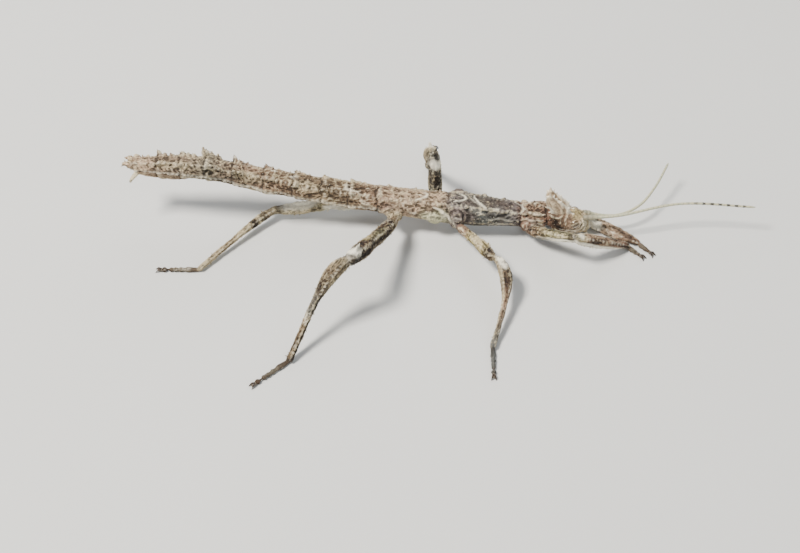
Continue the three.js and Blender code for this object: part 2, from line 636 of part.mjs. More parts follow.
function build() {
  const insect = new THREE.Group();
  const atOrigin = new THREE.Vector3();
  const add = (name, geometry, material) => insect.add(placed(name, geometry, material, atOrigin));
  ABDOMEN_JOINTS_X.slice(1).forEach((x, index) => {
    add(`abdomen_${index + 1}`, abdomenSegment(index), MATERIAL.abdomen());
  });
  add('operculum', operculum(), MATERIAL.abdomen());
  add('metathorax', thoraxRing('metathorax'), MATERIAL.thorax());
  add('mesothorax', thoraxRing('mesothorax'), MATERIAL.thorax());
  add('pronotum', thoraxRing('pronotum'), MATERIAL.pronotum());
  add('head', head(), MATERIAL.head());
  add('mouthparts', mouthparts(), MATERIAL.head());
  Object.entries(SIDES).forEach(([sideName, side]) => {
    add(`cercus_${sideName}`, cercus(side), MATERIAL.abdomen());
    add(`crest_${sideName}`, crest(side), MATERIAL.crest());
    add(`eye_${sideName}`, closed(eyeball(side)), MATERIAL.eye());
    add(`antenna_${sideName}`, antenna(sideName), MATERIAL.antenna());
  });
  Object.entries(LEGS).forEach(([name, plan]) => insect.add(...leg(name, plan)));
  return insect;
}

const group = new THREE.Group();
const insect = build();
group.add(insect);
insect.updateMatrixWorld(true);
const box = new THREE.Box3().setFromObject(insect, true);
const middle = box.getCenter(new THREE.Vector3());
insect.position.set(-middle.x, -middle.y, -box.min.z);

export default group;
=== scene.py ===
"""A life-size stick insect paused in mid step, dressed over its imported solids."""

import logging
import math
from dataclasses import dataclass, field, fields, replace
from enum import Enum
from typing import Iterable, Optional, Union

import bmesh
import bpy
import numpy as np
from mathutils import Matrix, Vector


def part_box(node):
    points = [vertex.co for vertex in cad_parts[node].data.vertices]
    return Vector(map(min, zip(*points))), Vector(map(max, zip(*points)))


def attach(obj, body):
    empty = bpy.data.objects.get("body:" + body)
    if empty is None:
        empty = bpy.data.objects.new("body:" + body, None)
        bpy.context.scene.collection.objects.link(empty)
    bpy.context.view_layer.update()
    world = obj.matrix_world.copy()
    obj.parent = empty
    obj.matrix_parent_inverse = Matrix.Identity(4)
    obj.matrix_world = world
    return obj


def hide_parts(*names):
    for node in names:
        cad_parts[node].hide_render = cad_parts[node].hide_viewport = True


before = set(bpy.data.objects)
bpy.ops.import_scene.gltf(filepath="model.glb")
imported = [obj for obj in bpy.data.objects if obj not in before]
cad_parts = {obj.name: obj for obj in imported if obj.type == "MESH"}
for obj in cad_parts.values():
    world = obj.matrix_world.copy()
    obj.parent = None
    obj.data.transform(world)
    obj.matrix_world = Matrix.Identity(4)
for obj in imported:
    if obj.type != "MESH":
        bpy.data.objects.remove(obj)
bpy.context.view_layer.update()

log = logging.getLogger("stick_insect")

MM = 0.001
BODY = "root"
LEG_NAMES = (
    "front_right", "front_left", "middle_right", "middle_left", "hind_right", "hind_left",
)
SIDES = {"left": 1.0, "right": -1.0}
AHEAD = np.array([1.0, 0.0, 0.0])
LEFT = np.array([0.0, 1.0, 0.0])
UP = np.array([0.0, 0.0, 1.0])
WORD = 2**32
CELL_STEPS = (73856093, 19349663, 83492791)
SEED_STEP = 2654435761
MIXERS = ((15, 2246822519), (13, 3266489917))
Number = Union[float, "Socket"]
Profile = tuple[tuple[float, float], ...]
Stops = tuple[tuple[float, "Tint"], ...]


# ---- Numbers and noise ----


class Tint(Enum):
    """Colours of the insect's cuticle, some also used for shade painted on it, as display values from 0 to
    255.
    """

    CREAM = (206, 190, 152)
    WHITE = (240, 234, 214)
    STRAW = (186, 170, 114)
    OLIVE = (172, 164, 122)
    FAWN = (184, 158, 130)
    TAN = (128, 109, 82)
    PINK_TAN = (150, 122, 98)
    ROSE = (124, 92, 74)
    UMBER = (74, 55, 40)
    PITCH = (24, 18, 14)
    PLUM = (106, 96, 92)
    SLATE = (92, 94, 90)
    SAGE = (166, 170, 146)
    LICHEN = (192, 190, 150)
    IVORY = (230, 212, 178)
    MAUVE = (148, 130, 122)
    ASH = (114, 106, 90)

    @property
    def linear(self) -> np.ndarray:
        """The colour as linear light."""
        share = np.array(self.value) / 255.0
        return np.where(share <= 0.04045, share / 12.92, ((share + 0.055) / 1.055) ** 2.4)

    @property
    def rgba(self) -> tuple[float, float, float, float]:
        """The colour as linear light with full cover."""
        red, green, blue = (float(part) for part in self.linear)
        return red, green, blue, 1.0


def smooth(stations: Iterable[float], values: Iterable[float], at: np.ndarray) -> np.ndarray:
    """Reads a smooth curve through stations.

    Args:
        stations: Rising places along the curve.
        values: The curve's value at each station.
        at: Places to read.

    Returns:
        The value at each place, level beyond both ends.
    """
    xs = np.asarray(stations, float)
    ys = np.asarray(values, float)
    slopes = np.gradient(ys, xs)
    place = np.clip(at, xs[0], xs[-1])
    index = np.clip(np.searchsorted(xs, place, side="right") - 1, 0, len(xs) - 2)
    width = xs[index + 1] - xs[index]
    t = (place - xs[index]) / width
    rise = t * t * (3.0 - 2.0 * t)
    leave = t * (1.0 - t) ** 2
    arrive = t * t * (t - 1.0)
    return (
        ys[index] * (1.0 - rise)
        + ys[index + 1] * rise
        + width * (leave * slopes[index] + arrive * slopes[index + 1])
    )


def hill(distance: np.ndarray, width: float) -> np.ndarray:
    """A rounded bump that is 1 at no distance and fades over width."""
    return np.exp(-((distance / width) ** 2))


def step_up(low: float, high: float, value: np.ndarray) -> np.ndarray:
    """A soft step from 0 at low to 1 at high."""
    share = np.clip((value - low) / (high - low), 0.0, 1.0)
    return share * share * (3.0 - 2.0 * share)


def turn_gap(roll: np.ndarray, centre: float) -> np.ndarray:
    """Degrees from centre to each roll, the short way round."""
    return (roll - centre + 180.0) % 360.0 - 180.0


def scatter_values(cells: np.ndarray, seed: int) -> np.ndarray:
    """Turns whole-number cells into repeatable values.

    Args:
        cells: Whole numbers, three to a cell.
        seed: Which set of values to draw.

    Returns:
        One value from 0 to 1 for each cell.
    """
    whole = cells.astype(np.int64).astype(np.uint64)
    x, y, z = (whole[..., axis] * np.uint64(step) for axis, step in enumerate(CELL_STEPS))
    mask = np.uint64(WORD - 1)
    mixed = (x ^ y ^ z ^ np.uint64(seed * SEED_STEP % WORD)) & mask
    for shift, factor in MIXERS:
        mixed = (mixed ^ (mixed >> np.uint64(shift))) * np.uint64(factor) & mask
    mixed ^= mixed >> np.uint64(16)
    return mixed.astype(float) / (WORD - 1.0)


def wander(points: np.ndarray, size: float, seed: int) -> np.ndarray:
    """Smooth random values from -1 to 1.

    Args:
        points: Places in millimetres, three numbers each.
        size: Width of a swell in millimetres.
        seed: Which set of values to draw.

    Returns:
        One value for each place.
    """
    scaled = points / size
    base = np.floor(scaled)
    part = scaled - base
    fade = part * part * part * (part * (part * 6.0 - 15.0) + 10.0)
    total = np.zeros(len(points))
    for corner in np.ndindex(2, 2, 2):
        offset = np.array(corner, float)
        weight = np.prod(np.where(offset > 0, fade, 1.0 - fade), axis=1)
        total += weight * scatter_values(base + offset, seed)
    return total * 2.0 - 1.0


def rough(points: np.ndarray, size: float, seed: int, layers: int = 3) -> np.ndarray:
    """Sums finer and finer swells, each half as wide and strong as the last."""
    total = np.zeros(len(points))
    reach = 0.0
    for layer in range(layers):
        weight = 0.5**layer
        total += weight * wander(points, size * weight, seed + layer)
        reach += weight
    return total / reach


def cracked(points: np.ndarray, size: float, seed: int) -> np.ndarray:
    """Measures how near each place is to the edge between two random cells.

    Args:
        points: Places in millimetres.
        size: Width of a cell in millimetres.
        seed: Which set of cells to draw.

    Returns:
        0 on an edge, rising to about 1 in the middle of a cell.
    """
    scaled = points / size
    base = np.floor(scaled)
    nearest = np.full(len(points), 9.0)
    second = np.full(len(points), 9.0)
    for corner in np.ndindex(3, 3, 3):
        cell = base + np.array(corner, float) - 1.0
        heart = cell + np.stack([scatter_values(cell, seed + axis) for axis in range(3)], axis=1)
        gap = np.linalg.norm(heart - scaled, axis=1)
        second = np.minimum(second, np.maximum(nearest, gap))
        nearest = np.minimum(nearest, gap)
    return np.clip((second - nearest) * 1.6, 0.0, 1.0)


# ---- Closed shapes ----


def hoops(
    centres: np.ndarray,
    aside: np.ndarray,
    upward: np.ndarray,
    half_aside: np.ndarray,
    half_up: np.ndarray,
    sides: int,
) -> np.ndarray:
    """Lays an ellipse across each point of a line.

    Args:
        centres: The line's points.
        aside: Direction of the ellipse's width, one or one a point.
        upward: Direction of its height.
        half_aside: Half width at each point.
        half_up: Half height at each point.
        sides: Points round each ellipse.

    Returns:
        Rings of points, from the line's first point to its last.
    """
    count = len(centres)
    angle = np.linspace(0.0, 2.0 * np.pi, sides, endpoint=False)[None, :, None]
    wide = np.broadcast_to(aside, (count, 3))[:, None, :] * np.asarray(half_aside)[:, None, None]
    tall = np.broadcast_to(upward, (count, 3))[:, None, :] * np.asarray(half_up)[:, None, None]
    return centres[:, None, :] + wide * np.sin(angle) + tall * np.cos(angle)


def taper(
    base: Iterable[float],
    tip: Iterable[float],
    radius: float,
    tip_radius: float,
    flat: float = 1.0,
    curl: Iterable[float] = (0.0, 0.0, 0.0),
    rings: int = 9,
    sides: int = 12,
) -> np.ndarray:
    """A tapered horn with a rounded tip.

    Args:
        base: Centre of its foot.
        tip: Its far end.
        radius: Half width at the foot.
        tip_radius: Half width near the tip.
        flat: Width across the insect over width along it.
        curl: How far the middle of the horn strays.
        rings: Rings along it.
        sides: Points round each ring.

    Returns:
        Rings of points from foot to tip.
    """
    start = np.asarray(base, float)
    axis = np.asarray(tip, float) - start
    length = np.linalg.norm(axis)
    ahead = axis / length
    helper = LEFT if abs(ahead[1]) < 0.8 else AHEAD
    aside = helper - ahead * (helper @ ahead)
    aside /= np.linalg.norm(aside)
    upward = np.cross(ahead, aside)
    share = np.sin(np.linspace(0.0, np.pi / 2, rings))
    dome = np.sqrt(np.clip(1.0 - np.clip((share - 0.85) / 0.15, 0.0, 1.0) ** 2, 0.02, 1.0))
    width = (radius + (tip_radius - radius) * share) * dome
    bend = np.sin(np.pi * share)[:, None] * np.asarray(curl, float)
    centres = start + share[:, None] * axis + bend
    return hoops(centres, aside, upward, width * flat, width, sides)


def shell_faces(rings: int, sides: int, first: int) -> list[tuple[int, ...]]:
    """Faces of a closed tube whose two ends are covered by one face each.

    Args:
        rings: Rings along the tube.
        sides: Points round each ring.
        first: Number of the tube's first point.

    Returns:
        Point numbers of each face.
    """
    faces = []
    for ring in range(rings - 1):
        low = first + ring * sides
        for side in range(sides):
            after = (side + 1) % sides
            faces.append((low + side, low + after, low + sides + after, low + sides + side))
    faces.append(tuple(first + side for side in reversed(range(sides))))
    faces.append(tuple(first + (rings - 1) * sides + side for side in range(sides)))
    return faces


@dataclass
class Clay:
    """Closed shapes gathered before they become one piece."""

    points: list[np.ndarray] = field(default_factory=list)
    faces: list[tuple[int, ...]] = field(default_factory=list)
    count: int = 0

    def add(self, rings: np.ndarray) -> None:
        """Adds one closed tube, given as rings of points."""
        self.faces += shell_faces(rings.shape[0], rings.shape[1], self.count)
        self.points.append(rings.reshape(-1, 3))
        self.count += rings.shape[0] * rings.shape[1]

    def mesh(self, name: str) -> bpy.types.Mesh:
        """Makes one mesh of everything gathered, with its faces outward."""
        mesh = bpy.data.meshes.new(name)
        mesh.from_pydata(np.concatenate(self.points).tolist(), [], self.faces)
        shape = bmesh.new()
        shape.from_mesh(mesh)
        bmesh.ops.recalc_face_normals(shape, faces=shape.faces)
        shape.to_mesh(mesh)
        shape.free()
        return mesh

    def fused(self, name: str, grain: float) -> "Surface":
        """Fuses everything gathered into one even surface.

        Args:
            name: Name of the working mesh.
            grain: Width of one face in millimetres.

        Returns:
            The fused surface.
        """
        lump = bpy.data.objects.new(name + "_lump", self.mesh(name + "_lump"))
        bpy.context.scene.collection.objects.link(lump)
        remesh = lump.modifiers.new("fuse", "REMESH")
        remesh.mode = "VOXEL"
        remesh.voxel_size = grain
        remesh.adaptivity = 0.0
        evaluated = lump.evaluated_get(bpy.context.evaluated_depsgraph_get())
        result = bpy.data.meshes.new_from_object(evaluated)
        points = np.zeros(len(result.vertices) * 3)
        result.vertices.foreach_get("co", points)
        quads = np.array([tuple(face.vertices) for face in result.polygons], int)
        bpy.data.objects.remove(lump)
        bpy.data.meshes.remove(result)
        return Surface(points.reshape(-1, 3), quads).largest()


@dataclass
class Surface:
    """A closed surface of four-sided faces, in millimetres."""

    points: np.ndarray
    quads: np.ndarray

    def edges(self) -> np.ndarray:
        """Each edge of the surface once, as a pair of point numbers."""
        pairs = np.concatenate([self.quads[:, [a, (a + 1) % 4]] for a in range(4)])
        return np.unique(np.sort(pairs, axis=1), axis=0)

    def largest(self) -> "Surface":
        """Keeps the largest closed surface and drops the specks that fusing leaves past thin tips.

        Returns:
            The surface without its specks.
        """
        edges = self.edges()
        island = np.arange(len(self.points))
        settled = False
        while not settled:
            lowest = np.minimum(island[edges[:, 0]], island[edges[:, 1]])
            merged = island.copy()
            np.minimum.at(merged, edges[:, 0], lowest)
            np.minimum.at(merged, edges[:, 1], lowest)
            merged = merged[merged]
            settled = np.array_equal(merged, island)
            island = merged
        kept = island == np.bincount(island).argmax()
        number = np.cumsum(kept) - 1
        return Surface(self.points[kept], number[self.quads[kept[self.quads[:, 0]]]])

    def relax(self, rounds: int, edges: np.ndarray) -> None:
        """Evens out the stair steps of the fused surface without shrinking it.

        Args:
            rounds: Pairs of passes, one that smooths and one that swells back.
            edges: The surface's edges.
        """
        count = np.bincount(edges.ravel(), minlength=len(self.points))[:, None]
        for weight in (0.55, -0.56) * rounds:
            total = np.zeros_like(self.points)
            for axis in range(3):
                total[:, axis] = np.bincount(
                    edges[:, 0], self.points[edges[:, 1], axis], len(self.points)
                ) + np.bincount(edges[:, 1], self.points[edges[:, 0], axis], len(self.points))
            self.points += weight * (total / count - self.points)

    def normals(self) -> np.ndarray:
        """The outward direction at each point."""
        corners = self.points[self.quads]
        across = np.cross(corners[:, 2] - corners[:, 0], corners[:, 3] - corners[:, 1])
        total = np.zeros_like(self.points)
        for axis in range(3):
            for corner in range(4):
                total[:, axis] += np.bincount(
                    self.quads[:, corner], across[:, axis], len(self.points)
                )
        return total / np.maximum(np.linalg.norm(total, axis=1, keepdims=True), 1e-12)

    def to_object(self, name: str, offset: np.ndarray, values: dict[str, np.ndarray]) -> bpy.types.Object:
        """Makes the surface a piece of the model.

        Args:
            name: The piece's name.
            offset: Millimetres from the plan's origin to the model's.
            values: Values at each point, kept as attributes: one number or one colour each.

        Returns:
            The piece.
        """
        mesh = bpy.data.meshes.new(name)
        mesh.from_pydata(((self.points + offset) * MM).tolist(), [], self.quads.tolist())
        for key, value in values.items():
            add_attribute(mesh, key, value)
        mesh.shade_smooth()
        return show(name, mesh)


def add_attribute(mesh: bpy.types.Mesh, name: str, values: np.ndarray) -> None:
    """Keeps one number or one colour for each point of a mesh.

    Args:
        mesh: The mesh.
        name: The attribute's name.
        values: One number, or red, green and blue, for each point.
    """
    if values.ndim == 1:
        layer = mesh.attributes.new(name, "FLOAT", "POINT")
        layer.data.foreach_set("value", values.astype(np.float32))
    else:
        layer = mesh.attributes.new(name, "FLOAT_COLOR", "POINT")
        colours = np.concatenate([values, np.ones((len(values), 1))], axis=1)
        layer.data.foreach_set("color", colours.astype(np.float32).ravel())


def show(name: str, mesh: bpy.types.Mesh) -> bpy.types.Object:
    """Puts a mesh into the scene as an object."""
    piece = bpy.data.objects.new(name, mesh)
    bpy.context.scene.collection.objects.link(piece)
    return piece


def plan_offset() -> np.ndarray:
    """Millimetres from the plan's origin to the model's, read from the right eye."""
    low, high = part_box("eye_right")
    return np.array((low + high) / 2) / MM - np.array(EYE.centre(-1.0))


# ---- The plan of the insect, in millimetres ----


@dataclass(frozen=True)
class Reading:
    """Where points lie on one part: distance along it, roll from its top (+ to its left),
    how far outside its plain surface they are, its radius there, and their place for noise."""

    along: np.ndarray
    roll: np.ndarray
    gap: np.ndarray
    radius: np.ndarray
    local: np.ndarray

    def only(self, near: np.ndarray) -> "Reading":
        """The points that near picks."""
        return Reading(*(getattr(self, item.name)[near] for item in fields(self)))


@dataclass(frozen=True)
class Coat:
    """What one part's cuticle looks like at each point: how far it stands out, the relief that
    its colours follow, its ground colour, and how much pale bloom, dark stain and painted
    shade, granules and thorns it carries."""

    height: np.ndarray
    relief: np.ndarray
    colour: np.ndarray
    pale: np.ndarray
    dusk: np.ndarray
    grain: np.ndarray
    thorn: np.ndarray


@dataclass(frozen=True)
class Weal:
    """A raised welt or a furrow along a path of (distance along the part, roll) pairs."""

    path: Profile
    width: float
    height: float
    pale: float = 0.0
    dusk: float = 0.0

    def distance(self, reading: Reading) -> np.ndarray:
        """How far each point lies from the welt's path, in millimetres, and more so at its ends."""
        arc = np.radians(reading.roll) * reading.radius
        best = np.full(len(arc), 99.0)
        count = len(self.path) - 1
        for index, ((x0, roll0), (x1, roll1)) in enumerate(zip(self.path, self.path[1:])):
            start = np.stack([np.full(len(arc), x0), np.radians(roll0) * reading.radius], axis=1)
            rolled = np.radians(roll1 - roll0) * reading.radius
            run = np.stack([np.full(len(arc), x1 - x0), rolled], axis=1)
            here = np.stack([reading.along, arc], axis=1) - start
            share = np.clip((here * run).sum(1) / np.maximum((run * run).sum(1), 1e-9), 0.0, 1.0)
            full = 0.35 + 0.65 * np.sin(np.pi * (index + share) / count)
            best = np.minimum(best, np.linalg.norm(here - share[:, None] * run, axis=1) / full)
        return best

    def mirrored(self) -> "Weal":
        """The same welt on the other side."""
        return replace(self, path=tuple((x, -roll) for x, roll in self.path))


@dataclass(frozen=True)
class Patch:
    """A stain of colour on a part, centred at a distance along it and a roll."""

    along: float
    spread: float
    roll: float
    roll_spread: float
    tint: Tint
    strength: float

    def cover(self, reading: Reading, ragged: np.ndarray) -> np.ndarray:
        """How much of the stain each point takes, from 0 to 1, with a ragged edge."""
        far = ((reading.along - self.along) / self.spread) ** 2
        far = far + (turn_gap(reading.roll, self.roll) / self.roll_spread) ** 2
        return self.strength * step_up(1.5, 0.6, np.sqrt(far) + 0.45 * ragged)


def over(colour: np.ndarray, tint: Tint, cover: np.ndarray) -> np.ndarray:
    """Lays a tint over the ground colours, as much as each point takes."""
    return colour * (1.0 - cover[:, None]) + tint.linear * cover[:, None]


def wash(stops: Stops, along: np.ndarray) -> np.ndarray:
    """Ground colours along a part.

    Args:
        stops: (distance along the part, tint), rising.
        along: Where to read them.

    Returns:
        Linear red, green and blue for each place.
    """
    places = [stop[0] for stop in stops]
    colours = np.array([stop[1].linear for stop in stops])
    return np.stack([np.interp(along, places, colours[:, part]) for part in range(3)], axis=1)


def bark(points: np.ndarray, cell: float, seed: int) -> np.ndarray:
    """The cuticle's bark-like relief: a warped net of ridges round pits.

    Args:
        points: Places in millimetres, shrunk along the way the ridges run.
        cell: Width of a pit.
        seed: Which pattern to draw.

    Returns:
        About -1 in the pits and 1 on the ridges.
    """
    warp = np.stack([rough(points, cell * 1.7, seed + 7 * axis, 2) for axis in range(3)], axis=1)
    bent = points + warp * cell * 0.55
    ridge = 1.0 - step_up(0.02, 0.5, cracked(bent, cell, seed + 31))
    swell = rough(bent, cell * 2.6, seed + 41, 2)
    crumb = rough(points, cell * 0.6, seed + 51, 2)
    return np.clip(ridge * 1.25 - 0.62 + 0.75 * swell + 0.6 * crumb, -1.2, 1.2)


@dataclass(frozen=True)
class Trunk:
    """The body from the tail tip to the neck."""

    x: tuple[float, ...] = (-43.4, -38.0, -31.0, -20.0, -8.0, 4.0, 12.0, 18.5, 22.8)
    height: tuple[float, ...] = (10.5, 10.8, 10.4, 8.0, 5.9, 4.6, 3.95, 3.6, 3.35)
    half_width: tuple[float, ...] = (1.15, 1.58, 1.82, 1.98, 2.12, 2.38, 2.48, 2.05, 1.55)
    flatness: float = 0.92
    joints: tuple[float, ...] = (
        -43.4, -39.6, -35.9, -31.9, -27.4, -22.6, -17.8, -13.4, -8.9, -4.4, 6.9, 18.6, 22.8,
    )
    lobe_heights: tuple[float, ...] = (0.6, 1.1, 0.9, 1.8, 1.2, 0.9, 0.7, 0.5, 0.45)
    lobe_roll: float = 34.0
    thorns_round_lobe: tuple[tuple[float, float, float], ...] = (
        (0.85, 0.9, 0.7), (-0.6, 1.15, 0.55), (1.6, 1.0, 0.45), (0.3, 1.75, 0.5), (1.1, 2.1, 0.35),
    )
    ridge_x: tuple[float, ...] = (-2.2, 2.0, 6.0, 10.2, 13.2, 16.4, 19.6, 21.7)
    haunches: tuple[tuple[float, ...], ...] = (
        (-2.5, 88.0, 1.3, 0.35, 0.5), (4.9, 96.0, 1.4, 0.3, 0.0), (8.5, 70.0, 1.45, 0.5, 1.0),
        (20.3, 86.0, 1.1, 0.25, 0.5),
    )
    tints: Stops = (
        (-43.4, Tint.FAWN), (-38.0, Tint.FAWN), (-31.5, Tint.ASH), (-24.0, Tint.PINK_TAN),
        (-12.0, Tint.TAN), (-3.5, Tint.PINK_TAN), (-1.5, Tint.FAWN), (5.6, Tint.FAWN),
        (7.2, Tint.PLUM), (12.0, Tint.SLATE), (17.8, Tint.PLUM), (19.0, Tint.ROSE),
        (20.6, Tint.PINK_TAN), (22.8, Tint.ROSE),
    )
    patches: tuple[Patch, ...] = (
        Patch(5.0, 2.4, -97.0, 38.0, Tint.LICHEN, 0.95),
        Patch(5.0, 2.4, 97.0, 38.0, Tint.LICHEN, 0.95),
        Patch(9.5, 1.8, -75.0, 34.0, Tint.PLUM, 0.8),
        Patch(0.4, 1.6, -70.0, 30.0, Tint.FAWN, 0.7),
        Patch(14.5, 2.6, -70.0, 30.0, Tint.SLATE, 0.8),
        Patch(13.0, 3.4, 0.0, 30.0, Tint.UMBER, 0.45),
        Patch(-19.0, 5.0, 0.0, 22.0, Tint.UMBER, 0.5),
        Patch(-9.0, 4.0, 4.0, 20.0, Tint.UMBER, 0.5),
        Patch(-37.0, 3.5, -40.0, 24.0, Tint.CREAM, 0.5),
        Patch(-25.0, 2.2, -45.0, 26.0, Tint.CREAM, 0.55),
        Patch(-16.0, 2.0, -30.0, 24.0, Tint.CREAM, 0.5),
    )
    weals: tuple[Weal, ...] = (
        Weal(((2.9, 22.0), (3.5, 8.0), (3.4, -8.0), (2.7, -20.0), (1.7, -26.0)), 0.17, 0.17, pale=0.85),
        Weal(((8.7, 30.0), (9.6, 18.0), (9.7, 2.0), (9.1, -10.0), (7.9, -16.0)), 0.18, 0.18, pale=0.9),
        Weal(
            ((11.0, 24.0), (11.3, 8.0), (11.9, -10.0), (12.8, -26.0), (13.2, -40.0)), 0.2, 0.18, pale=0.85,
        ),
        Weal(((10.4, 12.0), (11.0, -4.0), (12.0, -20.0)), 0.12, 0.12, pale=0.5),
        Weal(((4.6, -46.0), (5.8, -58.0), (7.0, -76.0), (7.7, -100.0)), 0.22, 0.2, pale=0.9),
        Weal(((4.6, 46.0), (5.8, 58.0), (7.0, 76.0), (7.7, 100.0)), 0.22, 0.2, pale=0.9),
        Weal(((2.4, -54.0), (4.0, -58.0), (5.8, -70.0)), 0.2, -0.14, dusk=0.9),
        Weal(((17.6, 22.0), (18.7, 4.0), (19.1, -16.0), (18.9, -34.0)), 0.16, 0.15, pale=0.7),
        Weal(((19.3, -14.0), (20.2, -36.0), (21.4, -42.0), (22.5, -26.0)), 0.16, 0.15, pale=0.4),
        Weal(((19.5, -56.0), (20.6, -70.0), (22.2, -64.0)), 0.16, 0.14, pale=0.4),
        Weal(((19.3, -98.0), (20.8, -86.0), (22.4, -94.0)), 0.18, 0.14, pale=0.45),
        Weal(((19.3, 14.0), (20.0, 34.0), (21.3, 44.0), (22.5, 30.0)), 0.16, 0.15, pale=0.4),
        Weal(((19.5, 58.0), (20.8, 72.0), (22.2, 62.0)), 0.16, 0.14, pale=0.4),
        Weal(((13.2, -78.0), (15.0, -66.0), (17.6, -76.0)), 0.2, 0.13, pale=0.3),
        Weal(((13.2, -104.0), (15.2, -94.0), (17.8, -104.0)), 0.2, 0.13, pale=0.35),
        Weal(((13.0, -54.0), (14.4, -60.0), (16.6, -48.0)), 0.2, -0.12, dusk=0.6),
        Weal(((-1.6, -60.0), (-0.4, -72.0), (1.6, -76.0)), 0.2, -0.12, dusk=0.7),
    )

    def axis_height(self, x: np.ndarray) -> np.ndarray:
        """Height of the centre line above the floor."""
        return smooth(self.x, self.height, x)

    def radius(self, x: np.ndarray) -> np.ndarray:
        """Half the trunk's width."""
        return smooth(self.x, self.half_width, x)

    def on_skin(self, x: float, roll: float, out: float) -> np.ndarray:
        """A point at x, rolled from the top, and lifted by out from the plain surface."""
        radius = float(self.radius(np.array([x]))[0]) + out
        turn = math.radians(roll)
        rise = radius * self.flatness * math.cos(turn)
        return np.array([x, radius * math.sin(turn), float(self.axis_height(np.array([x]))[0]) + rise])

    def behind_joint(self, x: np.ndarray) -> np.ndarray:
        """Distance in front of the nearest joint between two rings; below 0 behind it."""
        gaps = x[:, None] - np.array(self.joints)[None, :]
        return gaps[np.arange(len(x)), np.abs(gaps - 0.3).argmin(axis=1)]

    def fill(self, clay: Clay) -> None:
        """Adds the trunk's tube, its back lobes and its tail fork."""
        x = np.arange(self.x[0], self.x[-1], 0.2)
        share = self.behind_joint(x)
        swell = 1.0 + 0.05 * hill(share - 0.9, 0.9)
        radius = self.radius(x) * swell
        end = np.clip((x - self.x[0]) / 0.5, 0.0, 1.0)
        radius *= np.sqrt(np.clip(1.0 - (1.0 - end) ** 2, 0.2, 1.0))
        centres = np.stack([x, np.zeros_like(x), self.axis_height(x)], axis=1)
        clay.add(hoops(centres, LEFT, UP, radius, radius * self.flatness, 48))
        for side in SIDES.values():
            for rear, height in zip(self.joints, self.lobe_heights):
                self.add_thorns(clay, rear + 0.9, height, side)
            for x_ridge in self.ridge_x:
                self.add_thorns(clay, x_ridge, 0.38, side)
            for x_haunch, roll, radius_haunch, height, _ in self.haunches:
                foot = self.on_skin(x_haunch, side * roll, -0.9)
                tip = self.on_skin(x_haunch, side * roll, height + 0.1)
                clay.add(taper(foot, tip, radius_haunch, 0.72 * radius_haunch, sides=20))
            fork = [(-42.4, side * 0.5, 10.9), (-45.0, side * 0.8, 11.3)]
            clay.add(taper(*fork, 0.75, 0.16, curl=(0, 0, 0.12)))
            clay.add(taper((-42.8, side * 0.55, 10.3), (-44.5, side * 0.5, 10.75), 0.6, 0.14))

    def add_thorns(self, clay: Clay, x: float, height: float, side: float) -> None:
        """Adds one lobe of the back, with smaller thorns before and behind it."""
        roll = side * self.lobe_roll
        lean = 0.35 + height * 0.55
        foot = self.on_skin(x, roll, -0.6)
        tip = self.on_skin(x - lean, roll * 1.1, height + 0.15)
        clay.add(taper(foot, tip, 0.72 + 0.2 * height, 0.1, flat=0.5, curl=(-0.1 * height, 0, 0)))
        for shift, turn, part in self.thorns_round_lobe:
            foot = self.on_skin(x + shift, roll * turn, -0.4)
            tip = self.on_skin(x + shift - lean * part, roll * turn * 1.04, height * part + 0.1)
            clay.add(taper(foot, tip, 0.4 + 0.14 * height, 0.09, flat=0.55))

    def read(self, points: np.ndarray) -> Reading:
        """Reads where points lie on the trunk."""
        x = points[:, 0]
        inside = np.clip(x, self.x[0], self.x[-1])
        radius = self.radius(inside)
        rise = (points[:, 2] - self.axis_height(inside)) / self.flatness
        out = np.hypot(points[:, 1], rise)
        gap = np.hypot(np.maximum(out - radius, 0.0), x - inside) + np.minimum(out - radius, 0.0)
        local = points * np.array([0.5, 1.0, 1.0])
        return Reading(x, np.degrees(np.arctan2(points[:, 1], rise)), gap, radius, local)

    def coat(self, reading: Reading) -> Coat:
        """Works out the trunk's relief and colours."""
        x, roll = reading.along, reading.roll
        points = reading.local
        wobble = rough(points, 1.1, 3, 2)
        ragged = rough(points, 0.7, 5, 2)
        lump = rough(points, 2.6, 131, 2)
        ahead = self.behind_joint(x + 0.3 * wobble)
        turned = np.abs(roll + 11.0 * wobble)
        abdomen = step_up(-3.4, -5.0, x)
        bead = 0.5 + 0.5 * np.sin(2 * np.pi * x / 0.74 + 3.0 * wobble)
        belly = step_up(112.0, 140.0, np.abs(roll))
        rim = hill(ahead - 0.5, 0.32) * step_up(-0.6, 0.3, ragged)
        groove = hill(ahead + 0.02, 0.16)
        keel = hill(turned - 98.0, 9.0) * (0.35 + 0.65 * bead)
        row = hill(turned - self.lobe_roll, 8.0) * (0.4 + 0.6 * bead)
        fold = hill(turned - 66.0, 5.0)
        arc = np.abs(np.radians(roll)) * reading.radius
        spotted = step_up(-0.1, 0.5, rough(points, 1.9, 141, 2))
        slant = np.sin(2 * np.pi * (x - 0.7 * arc) / 0.62 + 4.5 * wobble) * spotted
        net = bark(points, 0.62, 101)
        height = 0.09 * rim - 0.12 * groove + 0.13 * keel * (0.4 + 0.6 * abdomen)
        slaty = step_up(7.2, 9.5, x) * step_up(18.6, 16.5, x)
        from_plate = np.hypot((x - 5.0) / 2.5, (np.abs(roll) - 97.0) / 36.0)
        plate = step_up(1.1, 0.7, from_plate + 0.15 * wobble)
        smoothed = (1.0 - 0.45 * belly) * (1.0 - 0.4 * slaty) * (1.0 - 0.3 * plate)
        height += 0.11 * row - 0.05 * fold + (0.15 * net + 0.05 * slant) * smoothed
        pale = 0.2 * rim * step_up(-0.2, 0.5, ragged) + 0.7 * keel * abdomen + 0.25 * row * bead
